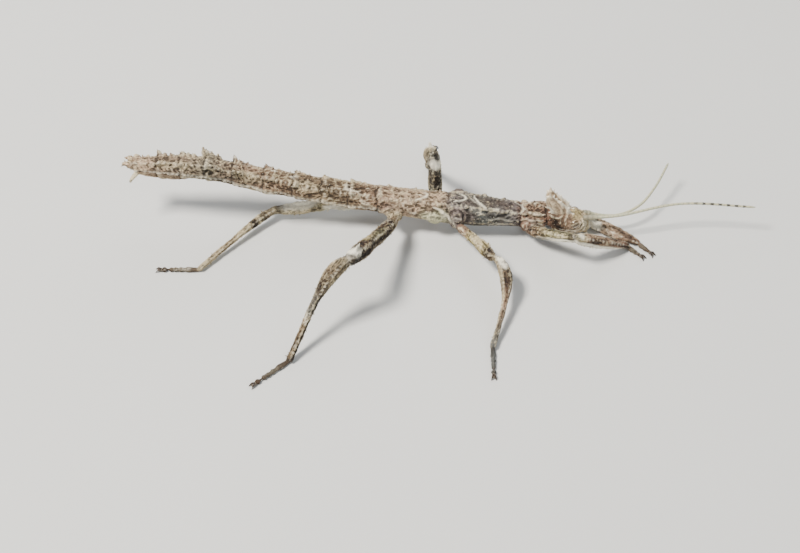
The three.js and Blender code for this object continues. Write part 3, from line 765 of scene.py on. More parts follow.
        pale = pale + 0.5 * step_up(0.3, 0.6, rough(points, 1.5, 151, 2)) * step_up(0.0, 0.5, net)
        dusk = 0.6 * groove + 0.3 * fold * step_up(-0.2, 0.5, ragged)
        dusk = dusk + 0.3 * step_up(-0.1, -0.5, slant * (1.0 - belly))
        dusk = dusk + 0.45 * step_up(0.0, 0.5, rough(points, 2.4, 61, 2)) * (1.0 - 0.6 * belly)
        pale = np.maximum(pale, 0.12 * plate)
        dusk = dusk * (1.0 - 0.55 * plate)
        colour = wash(self.tints, x + 0.8 * ragged)
        for patch in self.patches:
            colour = over(colour, patch.tint, patch.cover(reading, ragged))
        for x_haunch, centre, radius, _, swirl in self.haunches:
            for side in SIDES.values():
                aside = np.radians(turn_gap(roll, side * centre)) * reading.radius
                away = np.hypot(x - x_haunch, aside) + 0.12 * wobble
                whorl = swirl * step_up(1.3 * radius, 0.8 * radius, away)
                ripple = np.cos(2 * np.pi * away / 0.68 + 2.0 * ragged)
                height += (0.11 * ripple - 0.07 * net) * whorl
                # Painted shadow: a dark rim round the front side of each haunch, added to dusk.
                in_front = ragged + 0.4 * np.sign(x - x_haunch)
                rim_shade = hill(away - 1.3 * radius, 0.24) * step_up(-0.5, 0.3, in_front)
                dusk = dusk * (1.0 - 0.5 * whorl) + 0.6 * swirl * rim_shade
                colour = over(colour, Tint.MAUVE, 0.45 * whorl)
        bent = replace(reading, along=x + 0.18 * wobble, roll=roll + 6.0 * ragged)
        for weal in self.weals:
            away = weal.distance(bent)
            mark = hill(away, weal.width) * step_up(-1.1, -0.2, ragged)
            height += 0.8 * weal.height * mark - 0.1 * np.sign(weal.height) * mark * np.maximum(net, 0.0)
            pale = pale * (1.0 - mark) + weal.pale * mark
            # Painted shadow: a dark band just outside each pale welt, as strong as the welt is pale.
            painted_shadow = hill(away - 2.1 * weal.width, 0.8 * weal.width)
            dusk = dusk * (1.0 - mark) + weal.dusk * mark + 0.75 * weal.pale * painted_shadow
        grain = 0.25 + 0.6 * rim + 0.9 * keel + 0.8 * row - 0.6 * belly
        thorn = 0.9 * row * abdomen + 0.5 * keel * abdomen + 0.35 * rim * abdomen
        grain, thorn = np.clip(grain, 0.0, 1.0), np.clip(thorn, 0.0, 1.0)
        return Coat(height + 0.2 * lump, height, colour, pale, dusk, grain, thorn)


@dataclass(frozen=True)
class Head:
    """The head capsule with its lips and palps."""

    x: tuple[float, ...] = (22.95, 24.0, 25.4, 26.9, 28.2, 29.0, 29.5)
    height: tuple[float, ...] = (3.3, 3.15, 3.0, 2.85, 2.7, 2.55, 2.45)
    half_width: tuple[float, ...] = (1.25, 1.7, 1.95, 1.85, 1.6, 1.3, 0.85)
    half_height: tuple[float, ...] = (1.3, 1.85, 2.15, 2.2, 2.0, 1.65, 1.1)
    tints: Stops = (
        (22.9, Tint.ROSE), (24.2, Tint.UMBER), (26.0, Tint.PINK_TAN), (28.0, Tint.FAWN),
        (30.0, Tint.CREAM),
    )
    eye_folds: tuple[tuple[float, float, float, float], ...] = (
        (1.0, 0.12, 0.6, 0.0), (1.18, -0.09, 0.0, 0.75), (1.42, 0.09, 0.5, 0.0), (1.68, -0.06, 0.0, 0.6),
    )
    patches: tuple[Patch, ...] = (
        # The first two patches are painted shade: umber on the sides of the head behind the eyes, under the
        # crest.
        Patch(24.6, 1.2, -80.0, 42.0, Tint.UMBER, 0.65),
        Patch(24.6, 1.2, 80.0, 42.0, Tint.UMBER, 0.65),
        Patch(28.9, 0.6, -70.0, 60.0, Tint.CREAM, 0.9),
        Patch(28.9, 0.6, 70.0, 60.0, Tint.CREAM, 0.9),
        Patch(27.6, 0.8, -20.0, 26.0, Tint.STRAW, 0.6),
        Patch(27.6, 0.8, 20.0, 26.0, Tint.STRAW, 0.6),
    )

    def weals(self) -> tuple[Weal, ...]:
        """The ribs of the cheeks, the brows and the furrows behind them, on both sides."""
        right = (
            Weal(((26.2, -22.0), (25.8, -46.0), (25.9, -74.0)), 0.16, 0.12, pale=0.2),
            Weal(((25.4, -24.0), (24.9, -48.0), (25.3, -78.0)), 0.14, 0.1, pale=0.15),
            Weal(((24.9, -104.0), (26.4, -108.0), (28.4, -104.0)), 0.18, 0.15, pale=0.7),
            Weal(((24.8, -128.0), (26.6, -130.0), (28.6, -124.0)), 0.2, 0.14, pale=0.45),
            Weal(((28.8, -20.0), (29.0, -60.0), (28.8, -110.0)), 0.22, 0.18, pale=0.9),
            # A furrow behind the eye, darkened as painted shade under the crest.
            Weal(((24.2, -60.0), (24.6, -86.0), (25.6, -112.0)), 0.34, -0.12, dusk=0.9),
            Weal(((23.3, -30.0), (24.2, -48.0), (25.0, -40.0)), 0.22, 0.18, pale=0.2),
        )
        return right + tuple(weal.mirrored() for weal in right)

    def fill(self, clay: Clay) -> None:
        """Adds the head capsule, its knobs and bosses, the lips and the palps."""
        x = np.linspace(self.x[0] - 0.6, self.x[-1] + 0.15, 34)
        near = np.clip(x, self.x[0], self.x[-1])
        front = np.clip((x - 29.2) / 0.5, 0.0, 1.0)
        close = np.sqrt(np.clip(1.0 - front**2, 0.05, 1.0))
        centres = np.stack([x, np.zeros_like(x), smooth(self.x, self.height, near)], axis=1)
        wide = smooth(self.x, self.half_width, near) * close
        tall = smooth(self.x, self.half_height, near) * close
        clay.add(hoops(centres, LEFT, UP, wide, tall, 40))
        for side in SIDES.values():
            clay.add(taper((23.9, side, 4.2), (23.5, side * 1.35, 5.0), 0.45, 0.12))
            clay.add(taper((28.05, side * 0.6, 3.5), (28.6, side * 0.66, 4.1), 0.52, 0.4))
            clay.add(taper((28.9, side * 0.35, 0.8), (29.65, side * 0.4, 0.5), 0.26, 0.17, rings=7))
        lip_x = np.linspace(27.4, 29.95, 12)
        centres = np.stack([lip_x, np.zeros_like(lip_x), np.linspace(1.1, 1.3, 12)], axis=1)
        wide = np.interp(lip_x, [27.4, 27.9, 29.2, 29.8, 29.95], [0.4, 0.72, 0.64, 0.32, 0.14])
        clay.add(hoops(centres, LEFT, UP, wide, wide * 0.72, 24))

    def read(self, points: np.ndarray) -> Reading:
        """Reads where points lie on the head."""
        x = points[:, 0]
        near = np.clip(x, self.x[0], self.x[-1])
        wide = smooth(self.x, self.half_width, near)
        tall = smooth(self.x, self.half_height, near)
        rise = (points[:, 2] - smooth(self.x, self.height, near)) / tall
        aside = points[:, 1] / wide
        out = (np.hypot(aside, rise) - 1.0) * np.minimum(wide, tall)
        gap = np.hypot(np.maximum(out, 0.0), x - near) + np.minimum(out, 0.0)
        return Reading(x, np.degrees(np.arctan2(aside, rise)), gap, (wide + tall) / 2, points)

    def coat(self, reading: Reading) -> Coat:
        """Works out the head's relief and colours."""
        points = reading.local
        ragged = rough(points, 0.6, 15, 2)
        net = bark(points * np.array([0.7, 1.0, 1.0]), 0.5, 111)
        height = 0.085 * net
        pale = np.zeros(len(points))
        dusk = 0.3 * step_up(0.0, 0.6, rough(points, 1.2, 71, 2))
        colour = wash(self.tints, reading.along + 0.4 * ragged)
        for patch in self.patches:
            colour = over(colour, patch.tint, patch.cover(reading, ragged))
        bent = replace(reading, along=reading.along + 0.12 * ragged, roll=reading.roll + 5.0 * ragged)
        for weal in self.weals():
            mark = hill(weal.distance(bent), weal.width) * step_up(-1.0, 0.0, ragged)
            height += weal.height * mark
            pale = np.maximum(pale, weal.pale * mark)
            dusk = dusk * (1.0 - mark) + weal.dusk * mark
        for side in SIDES.values():
            away = np.linalg.norm(points - np.array(EYE.centre(side)), axis=1) + 0.24 * ragged
            for reach, lift, bloom, stain in self.eye_folds:
                ahead = 0.5 * (points[:, 0] - EYE.x) - 0.35 * (points[:, 2] - EYE.z)
                fold = hill(away - reach, 0.11) * step_up(-0.5, 0.4, rough(points, 0.7, 181, 2) + ahead)
                height += lift * fold
                pale = pale * (1.0 - fold) + bloom * fold
                dusk = dusk * (1.0 - fold) + stain * fold
        grain = np.full(len(points), 0.3)
        return Coat(height, height, colour, pale, dusk, grain, np.zeros(len(points)))


@dataclass(frozen=True)
class EyePlan:
    """Where the eyes sit and how large they are."""

    x: float = 27.3
    y: float = 1.28
    z: float = 3.5
    radius: float = 0.82

    def centre(self, side: float) -> tuple[float, float, float]:
        """The centre of the eye on one side."""
        return self.x, side * self.y, self.z


EYE = EyePlan()


class Kind(Enum):
    """The joints of a leg."""

    COXA = 0
    FEMUR = 1
    TIBIA = 2
    FOOT = 3


@dataclass(frozen=True)
class Lobe:
    """A leaf-like lobe on a limb: where, how long, how high and rolled how far from the top."""

    share: float
    length: float
    height: float
    roll: float


@dataclass(frozen=True)
class Limb:
    """One straight or gently bowed joint of a leg."""

    kind: Kind
    start: np.ndarray
    heading: float
    rise: float
    length: float
    profile: Profile
    scale: float
    bow: float = 0.0
    flatness: float = 0.95
    lobes: tuple[Lobe, ...] = ()
    tints: Stops = ((0.0, Tint.TAN), (1.0, Tint.TAN))
    patches: tuple[Patch, ...] = ()
    seed: int = 0
    streaks: float = 0.0
    bow_skew: float = 0.58

    def turn(self) -> np.ndarray:
        """The limb's own directions, as the columns of a matrix."""
        heading, rise = math.radians(self.heading), math.radians(self.rise)
        ahead = [math.cos(heading) * math.cos(rise), math.sin(heading) * math.cos(rise), math.sin(rise)]
        aside = [-math.sin(heading), math.cos(heading), 0.0]
        return np.stack([ahead, aside, np.cross(ahead, aside)], axis=1)

    def to_body(self, local: np.ndarray) -> np.ndarray:
        """Points of the limb as points of the insect."""
        return self.start + local @ self.turn().T

    def stray(self, share: np.ndarray) -> np.ndarray:
        """How far the limb bows to its left."""
        return self.bow * np.sin(np.pi * np.clip(share, 0.0, 1.0) ** self.bow_skew)

    def depth(self, share: np.ndarray) -> np.ndarray:
        """Half the limb's depth."""
        places = [stop[0] for stop in self.profile]
        halves = [stop[1] for stop in self.profile]
        return smooth(places, halves, share) * self.scale

    def end(self) -> np.ndarray:
        """The far end of the limb's centre line."""
        return self.to_body(np.array([[self.length, 0.0, 0.0]]))[0]

    def fill(self, clay: Clay) -> None:
        """Adds the limb's tube and its lobes."""
        share = np.linspace(-0.02, 1.02, max(12, int(self.length / 0.25)))
        ends = np.minimum(share + 0.02, 1.02 - share) * self.length
        round_off = np.sqrt(np.clip(1.0 - (1.0 - np.clip(ends / 0.3, 0.0, 1.0)) ** 2, 0.12, 1.0))
        depth = self.depth(share) * round_off
        centres = np.stack([share * self.length, self.stray(share), np.zeros_like(share)], axis=1)
        rings = hoops(centres, LEFT, UP, depth * self.flatness, depth, 20)
        clay.add(self.on_floor(rings))
        for lobe in self.lobes:
            clay.add(self.on_floor(self.lobe_rings(lobe)))

    def on_floor(self, rings: np.ndarray) -> np.ndarray:
        """Places rings of the limb on the insect, none of them below the floor."""
        placed = self.to_body(rings.reshape(-1, 3)).reshape(rings.shape)
        placed[..., 2] = np.maximum(placed[..., 2], 0.0)
        return placed

    def lobe_rings(self, lobe: Lobe) -> np.ndarray:
        """The rings of one thin, notched and slightly curled lobe."""
        u = np.linspace(-1.0, 1.0, 22)
        skewed = (u + 1.0) / 2.0
        arch = np.interp(skewed, [0.0, 0.12, 0.4, 0.62, 0.85, 1.0], [0.12, 0.72, 1.0, 0.93, 0.6, 0.1])
        tooth = 0.16 * np.sin(2 * np.pi * (lobe.length / 0.75) * skewed + lobe.roll + self.seed)
        reach = (0.85 * self.scale + lobe.height) * arch * (1.0 + tooth - 0.1)
        spin = math.radians(lobe.roll)
        outward = np.array([0.0, math.sin(spin), math.cos(spin)])
        across = np.array([0.0, math.cos(spin), -math.sin(spin)])
        angle = np.linspace(0.0, 2 * np.pi, 16, endpoint=False)
        height = (1.0 - np.cos(angle)) / 2.0
        thick = 0.3 * np.sin(angle) * (1.0 - 0.42 * height)
        curl = 0.2 * lobe.height * height**2
        x = lobe.share * self.length + u * lobe.length / 2.0
        base = np.stack([x, self.stray(x / self.length), np.zeros_like(x)], axis=1)
        lean = -0.18 * lobe.height * height
        return (
            base[:, None, :]
            + outward * (reach[:, None] * height[None, :])[..., None]
            + across * (thick + curl)[None, :, None]
            + AHEAD * lean[None, :, None]
        )

    def read(self, points: np.ndarray) -> Reading:
        """Reads where points lie on the limb."""
        local = (points - self.start) @ self.turn()
        share = np.clip(local[:, 0] / self.length, 0.0, 1.0)
        depth = self.depth(share)
        aside = (local[:, 1] - self.stray(share)) / self.flatness
        out = np.hypot(aside, local[:, 2])
        beyond = local[:, 0] - share * self.length
        gap = np.hypot(np.maximum(out - depth, 0.0), beyond) + np.minimum(out - depth, 0.0)
        roll = np.degrees(np.arctan2(aside, local[:, 2]))
        stretched = local * np.array([0.45, 1.0, 1.0]) + 13.7 * self.seed
        return Reading(share, roll, gap, depth, stretched)

    def coat(self, reading: Reading) -> Coat:
        """Works out the limb's relief and colours."""
        share, roll = reading.along, reading.roll
        points = reading.local
        ragged = rough(points, 0.5, 25 + self.seed, 2)
        strength = {Kind.COXA: 0.12, Kind.FEMUR: 0.095, Kind.TIBIA: 0.075, Kind.FOOT: 0.035}[self.kind]
        cell = {Kind.COXA: 0.55, Kind.FEMUR: 0.5, Kind.TIBIA: 0.42, Kind.FOOT: 0.34}[self.kind]
        net = bark(points, cell, 121 + self.seed)
        bead = 0.5 + 0.5 * np.sin(2 * np.pi * share * self.length / 0.66 + 2.0 * ragged)
        keels = sum(hill(turn_gap(roll, at), 13.0) for at in (42.0, -42.0, 140.0, -140.0))
        keels = keels * (0.0 if self.kind is Kind.FOOT else 1.0)
        lobed = step_up(0.25, 0.5, reading.gap)
        height = strength * net * (1.0 - 0.4 * lobed)
        height += 0.085 * self.scale * keels * (0.35 + 0.65 * bead) * (1.0 - lobed)
        pale = 0.5 * keels * bead * step_up(-0.3, 0.4, ragged) + 0.25 * lobed
        chalk = step_up(0.25, 0.6, rough(points, 1.1, 171 + self.seed, 2))
        pale = pale + 0.4 * chalk * step_up(-0.1, 0.5, net)
        dusk = 0.5 * step_up(0.0, 0.5, rough(points, 1.3, 81 + self.seed, 2)) * (1.0 - 0.6 * lobed)
        streak = step_up(-0.1, 0.35, rough(points * np.array([0.4, 1.0, 1.0]), 0.62, 191 + self.seed, 2))
        dusk = dusk + self.streaks * streak
        height -= 0.05 * self.streaks * streak
        colour = wash(self.tints, share + 0.03 * ragged)
        for patch in self.patches:
            cover = patch.cover(reading, ragged)
            colour = over(colour, patch.tint, cover)
            if patch.tint is Tint.WHITE:
                pale = np.maximum(pale, cover)
                dusk = dusk * (1.0 - cover)
            if patch.tint is Tint.PITCH:
                pale = pale * (1.0 - cover)
                dusk = np.maximum(dusk, 0.8 * cover)
        grain = np.clip(0.12 + 0.75 * keels + 0.5 * lobed, 0.0, 1.0)
        grain = grain * {Kind.COXA: 0.8, Kind.FEMUR: 1.0, Kind.TIBIA: 0.9, Kind.FOOT: 0.25}[self.kind]
        thorn = 0.35 * keels + 0.5 * lobed * (0.0 if self.kind is Kind.FOOT else 1.0)
        lump = (0.0 if self.kind is Kind.FOOT else 0.11) * rough(points, 1.5, 161, 2)
        relief = height * (1.5 if self.kind is not Kind.COXA else 1.2)
        return Coat(height + lump, relief, colour, pale, dusk, grain, np.clip(thorn, 0.0, 1.0))


FEMUR_PROFILE = (
    (0.0, 0.55), (0.1, 0.72), (0.35, 0.75), (0.62, 0.9), (0.76, 1.05), (0.9, 0.85), (1.0, 0.7),
)
BROAD_FEMUR_PROFILE = (
    (0.0, 0.75), (0.1, 1.0), (0.35, 1.05), (0.62, 1.0), (0.76, 1.05), (0.9, 0.9), (1.0, 0.7),
)
TIBIA_PROFILE = (
    (0.0, 0.65), (0.07, 0.92), (0.2, 1.05), (0.33, 0.9), (0.45, 0.6), (0.65, 0.48), (0.9, 0.46),
    (1.0, 0.5),
)
COXA_PROFILE = ((0.0, 1.25), (0.5, 1.1), (1.0, 0.85))
FOOT_ENDS = (0.4, 0.56, 0.69, 0.8, 1.0)
TOE_HALF = 0.46
TOE_WAIST = 0.3
TOE_HEIGHT = 0.34
ANKLE_HEIGHT = 0.62


def foot_profile() -> Profile:
    """Half thickness along a foot: five joints, each widest near its far end."""
    stops = [(0.0, 0.3)]
    start = 0.0
    for end in FOOT_ENDS:
        stops.append((start + 0.72 * (end - start), TOE_HALF - 0.02))
        stops.append((start + 0.86 * (end - start), TOE_HALF))
        stops.append((end, TOE_WAIST))
        start = end
    return tuple(stops)


@dataclass(frozen=True)
class Shape:
    """Half thickness along the two long joints of a leg, and the lobes on them."""

    femur: Profile
    tibia: Profile
    femur_lobes: tuple[Lobe, ...]
    tibia_lobes: tuple[Lobe, ...]


FRONT_SHAPE = Shape(
    ((0.0, 0.55), (0.15, 0.8), (0.4, 0.88), (0.7, 0.86), (0.9, 0.8), (1.0, 0.7)),
    ((0.0, 0.7), (0.1, 0.92), (0.35, 1.0), (0.6, 0.92), (0.8, 0.72), (1.0, 0.45)),
    (Lobe(0.5, 1.6, 0.3, 180), Lobe(0.8, 1.8, 0.35, 0)),
    (Lobe(0.3, 2.0, 0.25, 200), Lobe(0.62, 1.2, 0.45, 50)),
)
MIDDLE_SHAPE = Shape(
    FEMUR_PROFILE, TIBIA_PROFILE,
    (Lobe(0.3, 1.6, 0.45, 0), Lobe(0.72, 2.2, 0.55, 0), Lobe(0.7, 2.0, 0.5, 130)),
    (
        Lobe(0.09, 1.7, 1.1, 0), Lobe(0.22, 3.2, 0.55, 180), Lobe(0.36, 1.4, 0.5, 0),
        Lobe(0.62, 0.9, 0.35, 0),
    ),
)
HIND_SHAPE = Shape(
    ((0.0, 0.55), (0.1, 0.78), (0.35, 0.95), (0.62, 1.05), (0.76, 1.15), (0.9, 1.05), (1.0, 0.85)),
    (
        (0.0, 0.8), (0.07, 1.05), (0.18, 1.12), (0.3, 0.9), (0.42, 0.6), (0.65, 0.48), (0.9, 0.46),
        (1.0, 0.5),
    ),
    (
        Lobe(0.28, 2.0, 0.5, 0), Lobe(0.46, 2.2, 0.55, 20), Lobe(0.62, 2.0, 0.6, -20),
        Lobe(0.91, 2.6, 1.4, 0), Lobe(0.8, 2.2, 0.6, 180),
    ),
    (
        Lobe(0.13, 2.2, 0.8, 0), Lobe(0.2, 3.6, 0.7, 180), Lobe(0.33, 1.8, 0.6, 0),
        Lobe(0.55, 1.1, 0.45, 0),
    ),
)
SLIM_HIND_SHAPE = Shape(
    ((0.0, 0.45), (0.1, 0.55), (0.3, 0.6), (0.5, 0.65), (0.76, 0.9), (0.9, 0.8), (1.0, 0.6)),
    ((0.0, 0.5), (0.08, 0.62), (0.3, 0.6), (0.45, 0.42), (0.7, 0.38), (1.0, 0.42)),
    (
        Lobe(0.4, 5.2, 0.6, 105), Lobe(0.8, 5.0, 1.0, 0), Lobe(0.86, 1.4, 0.8, 170),
        Lobe(0.94, 1.2, 0.6, 190),
    ),
    (Lobe(0.12, 1.6, 0.35, 0), Lobe(0.28, 1.6, 0.3, 0)),
)
KNEE_PATCHES = (
    Patch(0.02, 0.05, 180.0, 120.0, Tint.PITCH, 0.8),
    Patch(0.09, 0.07, 0.0, 34.0, Tint.WHITE, 0.97),
)


@dataclass(frozen=True)
class Dress:
    """Ground colours and stains for the joints of one leg."""

    coxa: Stops
    femur: Stops
    tibia: Stops
    foot: Stops
    femur_patches: tuple[Patch, ...] = ()
    tibia_patches: tuple[Patch, ...] = ()
    knee_patches: tuple[Patch, ...] = KNEE_PATCHES
    streaks: float = 0.0


@dataclass(frozen=True)
class Leg:
    """One leg, from its hip to its toes."""

    name: str
    side: float
    scale: float
    hip: tuple[float, float, float]
    femur: float
    femur_heading: float
    femur_rise: float
    femur_bow: float
    tibia: float
    tibia_heading: float
    tibia_bow: float
    foot: float
    foot_heading: float
    shape: Shape
    dress: Dress
    seed: int
    flatness: float = 0.95

    def limbs(self, trunk: Trunk) -> tuple[Limb, ...]:
        """Lays out the leg's joints one after another.

        Args:
            trunk: The body that the leg grows from.

        Returns:
            Coxa, femur, tibia and foot.
        """
        hip = np.array(self.hip)
        root = trunk.on_skin(self.hip[0] - 0.2, self.side * 118.0, -0.5)
        run = hip - root
        coxa = Limb(
            Kind.COXA, root, math.degrees(math.atan2(run[1], run[0])),
            math.degrees(math.atan2(run[2], math.hypot(run[0], run[1]))),
            float(np.linalg.norm(run)) * 1.12, COXA_PROFILE, self.scale,
            flatness=1.0, tints=self.dress.coxa, seed=self.seed,
        )
        femur = Limb(
            Kind.FEMUR, hip, self.femur_heading, self.femur_rise, self.femur, self.shape.femur,
            self.scale, self.femur_bow, self.flatness, self.shape.femur_lobes, self.dress.femur,
            self.dress.femur_patches, self.seed + 1, self.dress.streaks,
        )
        knee = femur.end()
        drop = math.degrees(math.asin((knee[2] - ANKLE_HEIGHT) / self.tibia))
        tibia = Limb(
            Kind.TIBIA, knee, self.tibia_heading, -drop, self.tibia, self.shape.tibia, self.scale,
            self.tibia_bow, self.flatness, self.shape.tibia_lobes, self.dress.tibia,
            self.dress.knee_patches + self.dress.tibia_patches, self.seed + 2, self.dress.streaks,
        )
        ankle = tibia.end()
        toe = Limb(
            Kind.FOOT, np.array([ankle[0], ankle[1], TOE_HEIGHT]), self.foot_heading, 0.0,
            self.foot, foot_profile(), 1.0, flatness=1.0, tints=self.dress.foot,
            seed=self.seed + 3,
        )
        return coxa, femur, tibia, toe


DARK_FOOT = ((0.0, Tint.UMBER), (0.5, Tint.ASH), (1.0, Tint.UMBER))
FRONT_DRESS = Dress(
    coxa=((0.0, Tint.ROSE), (1.0, Tint.ROSE)),
    femur=((0.0, Tint.ROSE), (0.3, Tint.TAN), (0.5, Tint.OLIVE), (0.85, Tint.OLIVE), (1.0, Tint.TAN)),
    tibia=(
        (0.0, Tint.OLIVE), (0.2, Tint.PINK_TAN), (0.6, Tint.PINK_TAN), (0.9, Tint.ROSE),
        (1.0, Tint.UMBER),
    ),
    foot=DARK_FOOT,
    streaks=0.95,
    femur_patches=(
        Patch(0.66, 0.34, -114.0, 24.0, Tint.WHITE, 0.95),
        Patch(0.8, 0.16, -40.0, 22.0, Tint.CREAM, 0.6),
    ),
    tibia_patches=(
        Patch(0.4, 0.5, -112.0, 22.0, Tint.WHITE, 0.95),
        Patch(0.3, 0.3, 70.0, 30.0, Tint.CREAM, 0.6),
    ),
    knee_patches=(
        Patch(0.0, 0.03, 180.0, 120.0, Tint.UMBER, 0.5),
        Patch(0.06, 0.05, 20.0, 60.0, Tint.WHITE, 0.6),
    ),
)
FRONT_LEFT_DRESS = replace(
    FRONT_DRESS,
    femur=((0.0, Tint.ROSE), (0.4, Tint.FAWN), (0.8, Tint.CREAM), (1.0, Tint.CREAM)),
    tibia=((0.0, Tint.CREAM), (0.3, Tint.FAWN), (0.7, Tint.PINK_TAN), (1.0, Tint.ROSE)),
    tibia_patches=(Patch(0.12, 0.2, -60.0, 60.0, Tint.WHITE, 0.8),),
    streaks=0.4,
)
MIDDLE_RIGHT_DRESS = Dress(
    coxa=((0.0, Tint.PLUM), (1.0, Tint.PLUM)),
    femur=(
        (0.0, Tint.ROSE), (0.25, Tint.PINK_TAN), (0.4, Tint.STRAW), (0.75, Tint.STRAW),
        (0.9, Tint.UMBER),
    ),
    tibia=(
        (0.0, Tint.CREAM), (0.12, Tint.TAN), (0.3, Tint.UMBER), (0.5, Tint.PINK_TAN), (0.85, Tint.ASH),
        (1.0, Tint.SLATE),
    ),
    foot=((0.0, Tint.SLATE), (1.0, Tint.SLATE)),
    femur_patches=(
        Patch(0.58, 0.17, 20.0, 90.0, Tint.CREAM, 0.85),
        Patch(0.9, 0.06, 0.0, 160.0, Tint.PITCH, 0.75),
    ),
    tibia_patches=(
        Patch(0.2, 0.06, 40.0, 40.0, Tint.PITCH, 0.6),
        Patch(0.42, 0.4, -60.0, 26.0, Tint.CREAM, 0.7),
        Patch(0.28, 0.2, 120.0, 30.0, Tint.CREAM, 0.6),
    ),
)
MIDDLE_LEFT_DRESS = Dress(
    coxa=((0.0, Tint.PLUM), (1.0, Tint.SLATE)),
    # Painted shade: the grey along this femur stands for the shade it lies in.
    femur=((0.0, Tint.SLATE), (0.5, Tint.ASH), (0.85, Tint.SLATE), (1.0, Tint.PITCH)),
    tibia=((0.0, Tint.CREAM), (0.15, Tint.TAN), (0.4, Tint.ROSE), (0.7, Tint.TAN), (1.0, Tint.SLATE)),
    foot=DARK_FOOT,
    femur_patches=(
        Patch(0.4, 0.12, 0.0, 90.0, Tint.PITCH, 0.5),
        Patch(0.76, 0.1, 10.0, 60.0, Tint.WHITE, 0.95),
    ),
    tibia_patches=(
        Patch(0.3, 0.3, 70.0, 36.0, Tint.CREAM, 0.6),
        Patch(0.1, 0.1, 180.0, 60.0, Tint.CREAM, 0.6),
    ),
)
HIND_RIGHT_DRESS = Dress(
    coxa=((0.0, Tint.PINK_TAN), (1.0, Tint.CREAM)),
    femur=(
        (0.0, Tint.PINK_TAN), (0.1, Tint.TAN), (0.2, Tint.UMBER), (0.45, Tint.UMBER), (0.6, Tint.TAN),
        (0.75, Tint.UMBER), (1.0, Tint.PITCH),
    ),
    streaks=0.7,
    tibia=(
        (0.0, Tint.CREAM), (0.15, Tint.TAN), (0.32, Tint.UMBER), (0.45, Tint.ASH), (0.65, Tint.TAN),
        (1.0, Tint.TAN),
    ),
    foot=DARK_FOOT,
    femur_patches=(
        Patch(0.46, 0.12, 20.0, 34.0, Tint.OLIVE, 0.8),
        Patch(0.62, 0.07, -20.0, 30.0, Tint.STRAW, 0.7),
        Patch(0.3, 0.05, -100.0, 40.0, Tint.PITCH, 0.6),
        Patch(0.45, 0.05, -80.0, 36.0, Tint.PITCH, 0.6),
        Patch(0.86, 0.09, -120.0, 80.0, Tint.PITCH, 0.75),
        Patch(0.93, 0.07, 0.0, 56.0, Tint.WHITE, 1.0),
    ),
    knee_patches=(Patch(0.0, 0.04, 180.0, 130.0, Tint.PITCH, 0.7),),
    tibia_patches=(
        Patch(0.25, 0.16, -70.0, 30.0, Tint.CREAM, 0.8),
        Patch(0.25, 0.16, 90.0, 30.0, Tint.CREAM, 0.7),
        Patch(0.28, 0.1, 10.0, 26.0, Tint.PITCH, 0.5),
        Patch(0.5, 0.1, 0.0, 80.0, Tint.SLATE, 0.6),
        Patch(0.78, 0.22, 90.0, 30.0, Tint.PITCH, 0.6),
    ),
)
HIND_LEFT_DRESS = Dress(
    coxa=((0.0, Tint.PINK_TAN), (1.0, Tint.TAN)),
    femur=(
        (0.0, Tint.ROSE), (0.2, Tint.TAN), (0.27, Tint.CREAM), (0.5, Tint.CREAM), (0.58, Tint.OLIVE),
        (0.66, Tint.CREAM), (1.0, Tint.CREAM),
    ),
    tibia=(
        (0.0, Tint.CREAM), (0.12, Tint.UMBER), (0.2, Tint.CREAM), (0.27, Tint.UMBER),
        (0.36, Tint.CREAM), (0.6, Tint.TAN), (1.0, Tint.CREAM),
    ),
    foot=DARK_FOOT,
    femur_patches=(
        Patch(0.4, 0.15, 90.0, 90.0, Tint.WHITE, 1.0),
        Patch(0.8, 0.15, -10.0, 70.0, Tint.WHITE, 0.9),
        Patch(0.97, 0.04, 0.0, 160.0, Tint.PITCH, 0.6),
    ),
    tibia_patches=(
        Patch(0.16, 0.03, 0.0, 160.0, Tint.PITCH, 0.55),
        Patch(0.27, 0.03, 0.0, 160.0, Tint.PITCH, 0.55),
        Patch(0.37, 0.03, 0.0, 160.0, Tint.PITCH, 0.4),
    ),
    knee_patches=(Patch(0.0, 0.04, 180.0, 120.0, Tint.PITCH, 0.6),),
)

